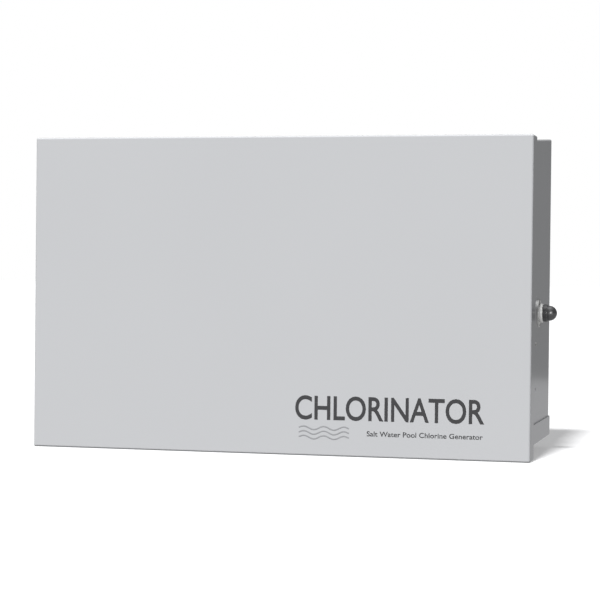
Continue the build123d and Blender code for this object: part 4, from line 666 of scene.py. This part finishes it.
panel_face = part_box("control_panel")[0].y - ink_lift
window_low, window_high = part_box("display_window")
window_x = (window_low.x + window_high.x) / 2
title_rise = 0.0085
key_name_drop = 0.0052
over_window = (window_x, panel_face, window_high.z + title_rise)
legends = [lettering("POOL CONTROL", over_window, 0.0050, centred=True)]
key_marks = (("left_key", "<"), ("right_key", ">"), ("menu_key", "MENU"), ("enter_key", "ENTER"))
for node, words in key_marks[2:]:
    key_low, key_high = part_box(node)
    under_key = ((key_low.x + key_high.x) / 2, panel_face, key_low.z - key_name_drop)
    legends.append(lettering(words, under_key, 0.0030, centred=True))
lens_low, lens_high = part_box("status_lenses")
lens_rim = 0.007
light_names = ("SERVICE", "LOW SALT", "FLOW", "CELL", "POWER")
lens_step = (lens_high.z - lens_low.z - lens_rim) / (len(light_names) - 1)
name_gap = 0.0045
name_rise = 0.0021
for i, words in enumerate(light_names):
    corner = (lens_high.x + name_gap, panel_face, lens_low.z + name_rise + i * lens_step)
    legends.append(lettering(words, corner, 0.0028))
keep("panel_legends", merged(legends), white_ink, "case")


def outline_box(x0, x1, z0, z1, y, line, depth):
    """A printed rectangle's four thin bars in the XZ plane; depth is their ink's thickness, either way."""
    bars = ((x0, x1, z0, z0 + line), (x0, x1, z1 - line, z1),
            (x0, x0 + line, z0 + line, z1 - line), (x1 - line, x1, z0 + line, z1 - line))
    near_and_far = sorted((y, y + depth))
    points, faces = [], []
    for a, b, c, d in bars:
        first = len(points)
        points += [(x, v, z) for v in near_and_far for x, z in ((a, c), (b, c), (b, d), (a, d))]
        faces += [[first + i for i in face] for face in
                  ((0, 1, 2, 3), (7, 6, 5, 4), (0, 4, 5, 1), (1, 5, 6, 2), (2, 6, 7, 3), (3, 7, 4, 0))]
    box = bpy.data.meshes.new("outline")
    box.from_pydata(points, [], faces)
    return box


ruled_low, ruled_high = window_low.z - 0.042, window_high.z + 0.006
ruled_face = panel_face - 0.00003
display_sides = (window_low.x - 0.010, lens_low.x - 0.004)
lights_sides = (lens_low.x - 0.0025, lens_high.x + 0.027)
rules = [outline_box(left, right, ruled_low, ruled_high, ruled_face, 0.0005, 0.00005)
         for left, right in (display_sides, lights_sides)]
keep("panel_outlines", merged(rules), white_ink, "case")

lcd_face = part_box("lcd_module")[0].y - ink_lift
text_left = window_low.x + 0.0085
text_high = 0.0066
upper_line, lower_line = 0.0215, 0.0085
readout = [lettering("SALT  3200", (text_left, lcd_face, window_low.z + upper_line), text_high, 0.058),
           lettering("OUTPUT  50%", (text_left, lcd_face, window_low.z + lower_line), text_high, 0.063)]
keep("display_characters", merged(readout), black_ink, "case")

for node, mark in key_marks[:2]:
    key_low, key_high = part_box(node)
    arrow_high = 0.0052
    middle = ((key_low.x + key_high.x) / 2, key_low.y - ink_lift,
              (key_low.z + key_high.z) / 2 - arrow_high / 2)
    keep(node + "_arrow", lettering(mark, middle, arrow_high, centred=True), white_ink, node)
for node in ("menu_key", "enter_key"):
    key_low, key_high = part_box(node)
    key_x, key_z = (key_low.x + key_high.x) / 2, (key_low.z + key_high.z) / 2
    half = 0.0022
    ink = 0.00005
    square = outline_box(key_x - half, key_x + half, key_z - half, key_z + half, key_low.y - ink,
                         0.0007, ink)
    keep(node + "_mark", square, white_ink, node)


# ---- Door ----------------------------------------------------------------------------------------
# A folded steel pan in the same powder coat.  Its front carries the printed name of the machine's kind
# and a mark of three waves; inside are a foam seal and a paper wiring chart.
dress(coat, "door_panel")


def seal_foam():
    finish, w = new_finish("seal_foam")
    pores = w.cells(0.0008)
    colour = w.blend(pores, (0.010, 0.010, 0.011), (0.045, 0.045, 0.047))
    return shade(finish, w, Base_Color=colour, Roughness=0.94, Normal=w.bump(pores, 0.0003, 0.9))


def chart_paper():
    finish, w = new_finish("chart_film")
    fibre = w.noise(0.004, 4.0, 0.6)
    return shade(finish, w, Base_Color=w.blend(fibre, (0.76, 0.77, 0.76), (0.84, 0.85, 0.84)),
                 Roughness=0.36 + 0.1 * fibre)


dress(seal_foam(), "door_gasket")
dress(chart_paper(), "door_label")

door_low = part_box("door_panel")[0]
door_ink = printed_ink("charcoal_ink", (0.062, 0.062, 0.065), 0.42)
wave_ink = printed_ink("pale_grey_ink", (0.40, 0.405, 0.42), 0.42)
door_front = door_low.y - 0.00001
film = 0.00006
big_left, big_rise, big_high, big_wide = 0.0170, 0.0285, 0.0190, 0.1480
small_left, small_rise, small_high, small_wide = 0.0740, 0.0165, 0.0040, 0.0900
wave_left, wave_rise = 0.0200, 0.0145
big_words = lettering("CHLORINATOR", (big_left, door_front, door_low.z + big_rise), big_high, big_wide,
                      thick=film, bold=0.014)
keep("door_name", big_words, door_ink, "door")
small_words = lettering("Salt Water Pool Chlorine Generator",
                        (small_left, door_front, door_low.z + small_rise), small_high, small_wide,
                        thick=film, bold=0.012)
keep("door_small_line", small_words, door_ink, "door")


def wave_mark(finish):
    """Three sine waves printed one above the other, each a thin flat ribbon."""
    mark = Recipe("door_wave_mark", length=0.040, swell=0.0013, waves=2.5, rows=3, pitch=0.0036, pen=0.0006)
    length = mark.size("length")
    end = mark.node("ShaderNodeCombineXYZ", {}, {"X": length})
    run = mark.node("GeometryNodeCurvePrimitiveLine", {}, {"End": end})
    fine = mark.node("GeometryNodeResampleCurve", {}, {"Curve": run, "Count": 72})
    share = mark.node("GeometryNodeSplineParameter", {})
    turns = mark.node("ShaderNodeMath", {"operation": "MULTIPLY"}, {0: share, 1: mark.size("waves")})
    angle = mark.node("ShaderNodeMath", {"operation": "MULTIPLY"}, {0: turns, 1: math.tau})
    wave = mark.node("ShaderNodeMath", {"operation": "SINE"}, {0: angle})
    rise = mark.node("ShaderNodeMath", {"operation": "MULTIPLY"}, {0: wave, 1: mark.size("swell")})
    offset = mark.node("ShaderNodeCombineXYZ", {}, {"Z": rise})
    bent = mark.node("GeometryNodeSetPosition", {}, {"Geometry": fine, "Offset": offset})
    pen = mark.node("GeometryNodeCurvePrimitiveCircle", {}, {"Resolution": 10, "Radius": mark.size("pen")})
    ribbon = mark.node("GeometryNodeCurveToMesh", {}, {"Curve": bent, "Profile Curve": pen,
                                                       "Fill Caps": True})
    step = mark.node("ShaderNodeCombineXYZ", {}, {"Z": mark.size("pitch")})
    rows = mark.node("GeometryNodeMeshLine", {}, {"Count": mark.size("rows"), "Offset": step})
    corner = (wave_left, door_front - ink_lift, door_low.z + wave_rise)
    flat = mark.node("GeometryNodeTransform", {}, {"Geometry": mark.repeat(rows, ribbon),
                                                   "Scale": (1.0, 0.05, 1.0), "Translation": corner})
    return mark.make(flat, finish, "door")


wave_mark(wave_ink)


def wiring_chart(finish):
    """Ruled rows, terminal boxes and their numbers on the chart inside the door."""
    low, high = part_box("door_label")
    face = high.y + 0.00004
    ink = -0.00003
    margin = 0.008
    inward = {"across": (-1, 0, 0), "up": (0, 0, 1)}
    border = margin / 2
    shapes = [outline_box(low.x + border, high.x - border, low.z + border, high.z - border, face,
                          0.0006, ink)]
    rows = 6
    step = 0.008
    number_in, word_in = 0.013, 0.024
    for i in range(rows):
        z = low.z + margin + i * step
        shapes.append(outline_box(low.x + margin, high.x - margin, z, z + step, face, 0.0004, ink))
        shapes.append(lettering(str(rows - i), (high.x - number_in, face, z + 0.0024), 0.0034, **inward))
        shapes.append(lettering("TERMINAL", (high.x - word_in, face, z + 0.0026), 0.0028, **inward))
    boxes = 8
    pitch = 0.0164
    box_in, box_wide = 0.014, 0.009
    box_foot, box_top = high.z - 0.040, high.z - 0.026
    for i in range(boxes):
        x = low.x + box_in + i * pitch
        middle = (x + box_wide / 2, face, box_foot + 0.005)
        shapes.append(outline_box(x, x + box_wide, box_foot, box_top, face, 0.0005, ink))
        shapes.append(lettering(str(boxes - i), middle, 0.0040, centred=True, **inward))
    heading = ((low.x + high.x) / 2, face, high.z - 0.016)
    shapes.append(lettering("WIRING", heading, 0.0062, centred=True, **inward))
    return keep("door_chart_print", merged(shapes), finish, "door")


wiring_chart(black_ink)


# ---- Latch ---------------------------------------------------------------------------------------
# A quarter-turn latch in the right side.  The dished washer is turned and plated, the bushing has a
# satin nickel plate, and the knob is moulded in glossy black plastic and screws to the shaft.
def bright_plate():
    finish, w = new_finish("bright_plate")
    low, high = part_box("latch_rosette")
    across = w.along("Y") - (low.y + high.y) / 2
    up = w.along("Z") - (low.z + high.z) / 2
    radius = w.math("SQRT", across * across + up * up)
    turning = w.math("SINE", radius * (math.tau / 0.00035))
    haze = w.noise(0.004, 3.0)
    colour = w.blend(haze, (0.50, 0.50, 0.49), (0.62, 0.62, 0.61))
    return shade(finish, w, Base_Color=colour, Metallic=1.0, Roughness=0.18 + 0.12 * haze,
                 Normal=w.bump(turning, 0.000004, 0.5))


def glossy_knob():
    finish, w = new_finish("knob_black_gloss")
    flow = w.noise(0.003, 3.0, 0.55)
    scuff = w.noise(0.0009, 4.0, 0.7)
    return shade(finish, w, Base_Color=w.blend(flow, (0.006, 0.006, 0.007), (0.014, 0.014, 0.015)), IOR=2.2,
                 Roughness=0.22 + 0.1 * scuff, Normal=w.bump(scuff, 0.000008, 0.3))


def nickel_plate():
    finish, w = new_finish("satin_nickel_plate")
    haze = w.noise(0.003, 3.0)
    return shade(finish, w, Base_Color=w.blend(haze, (0.86, 0.86, 0.85), (0.93, 0.93, 0.92)), Metallic=0.2,
                 Roughness=0.3 + 0.1 * haze)


dress(bright_plate(), "latch_rosette")
dress(nickel_plate(), "latch_bushing")
dress(glossy_knob(), "latch_knob")


# ---- Camera, light and floor ---------------------------------------------------------------------
# A pale seamless floor, one high soft lamp from the front and a broad white fill from the front left.
# A low lamp at the front right lights only the knob and bushing, for the soft highlight on the dome.
def add_camera():
    """The view: a long lens, nearly level with the box's middle and 14 degrees to its right."""
    data = bpy.data.cameras.new("view")
    camera = bpy.data.objects.new("view", data)
    bpy.context.scene.collection.objects.link(camera)
    data.lens = 113.22
    data.sensor_width = 36.0
    data.clip_end = 60.0
    turn, tilt, roll = 0.244114, -0.0128, 0.010584
    ahead = Vector((-math.sin(turn), math.cos(turn), 0.0))
    right = Vector((math.cos(turn), math.sin(turn), 0.0))
    up = Vector((0.0, 0.0, 1.0))
    look = ahead * math.cos(tilt) + up * math.sin(tilt)
    rise = up * math.cos(tilt) - ahead * math.sin(tilt)
    side = right * math.cos(roll) + rise * math.sin(roll)
    rise = rise * math.cos(roll) - right * math.sin(roll)
    stand = Vector((0.374137, door_low.y - 1.422108, door_low.z + 0.139463))
    turned = Matrix((side, rise, -look)).transposed().to_4x4()
    camera.matrix_world = Matrix.Translation(stand) @ turned
    bpy.context.scene.camera = camera


def add_sun(name, direction, strength, angle):
    """A far soft light that shines along direction."""
    data = bpy.data.lights.new(name, "SUN")
    data.energy = strength
    data.angle = math.radians(angle)
    lamp = bpy.data.objects.new(name, data)
    bpy.context.scene.collection.objects.link(lamp)
    lamp.rotation_euler = Vector(direction).to_track_quat("-Z", "Y").to_euler()
    return lamp


def add_plane(name, x0, x1, y0, y1, z, finish):
    mesh = bpy.data.meshes.new(name)
    mesh.from_pydata([(x0, y0, z), (x1, y0, z), (x1, y1, z), (x0, y1, z)], [], [(0, 1, 2, 3)])
    plane = bpy.data.objects.new(name, mesh)
    bpy.context.scene.collection.objects.link(plane)
    mesh.materials.append(finish)
    return plane


def floor_paint():
    finish, w = new_finish("floor_white")
    return shade(finish, w, Base_Color=(0.72, 0.72, 0.725), Roughness=0.9, Specular_IOR_Level=0.0,
                 Emission_Color=(1.0, 1.0, 1.0), Emission_Strength=0.255)


def table_glow():
    finish, w = new_finish("table_glow")
    light = w.node("Emission", {}, {"Color": (1.0, 1.0, 1.02, 1.0), "Strength": 0.50})
    w.node("OutputMaterial", {}, {"Surface": light})
    return finish


def studio_sky():
    """White to the camera.  As light it is a dim grey, a little brighter at the front left and the back,
    and gloss also mirrors a soft glow straight above and below."""
    world = bpy.data.worlds.new("studio")
    bpy.context.scene.world = world
    world.use_nodes = True
    world.node_tree.nodes.clear()
    sky = Wire(world.node_tree)
    way = sky.node("TexCoord", out=0)

    def lobe(direction, power):
        """1 towards a direction, falling to 0 at a right angle to it."""
        toward = Vector(direction).normalized()
        near = sky.node("VectorMath", {"operation": "DOT_PRODUCT"}, {0: way, 1: toward}, out=1)
        return sky.math("POWER", sky.math("MAXIMUM", near, 0.0), power)

    front = 0.20 + 0.20 * lobe((-0.45, -0.85, 0.3), 1.0)
    fill = front + 0.32 * lobe((0.1, 1.0, 0.15), 2.0)
    mirrored = (front + 0.04 + 0.1 * lobe((-0.30, -0.95, 0.05), 4.0)
                + 1.7 * lobe((-0.15, 0.0, 1.0), 5.0) + 1.7 * lobe((-0.15, 0.0, -1.0), 5.0))
    camera_ray = sky.node("LightPath", out=0)
    glossy_ray = sky.node("LightPath", out=3)
    light = fill + glossy_ray * (mirrored - fill)
    dim = sky.node("Background", {}, {"Color": (0.98, 0.985, 1.0, 1.0), "Strength": light})
    white = sky.node("Background", {}, {"Color": (1.0, 1.0, 1.0, 1.0), "Strength": 1.0})
    mixed = sky.node("MixShader", {}, {0: camera_ray, 1: dim, 2: white})
    sky.node("OutputWorld", {}, {"Surface": mixed})


add_camera()
add_sun("key", (0.039, 0.60, -0.80), 3.70, 6.0).visible_glossy = False
glint = add_sun("latch_glint", (-0.46, 0.885, -0.06), 1.3, 36.0)
glint.data.use_shadow = False
lit = bpy.data.collections.new("lit_by_latch_glint")
for node in ("latch_knob", "latch_bushing"):
    lit.objects.link(nodes[node])
glint.light_linking.receiver_collection = lit
floor = add_plane("floor", -20, 20, -12, 28, door_low.z, floor_paint())
floor.visible_diffuse = False
floor.visible_glossy = False
table = add_plane("table_reflection", -3, 3, -6, door_low.y + 1.2, door_low.z - 0.001, table_glow())
table.visible_camera = False
table.visible_diffuse = False
table.visible_shadow = False
studio_sky()
bpy.context.scene.view_settings.view_transform = "Standard"
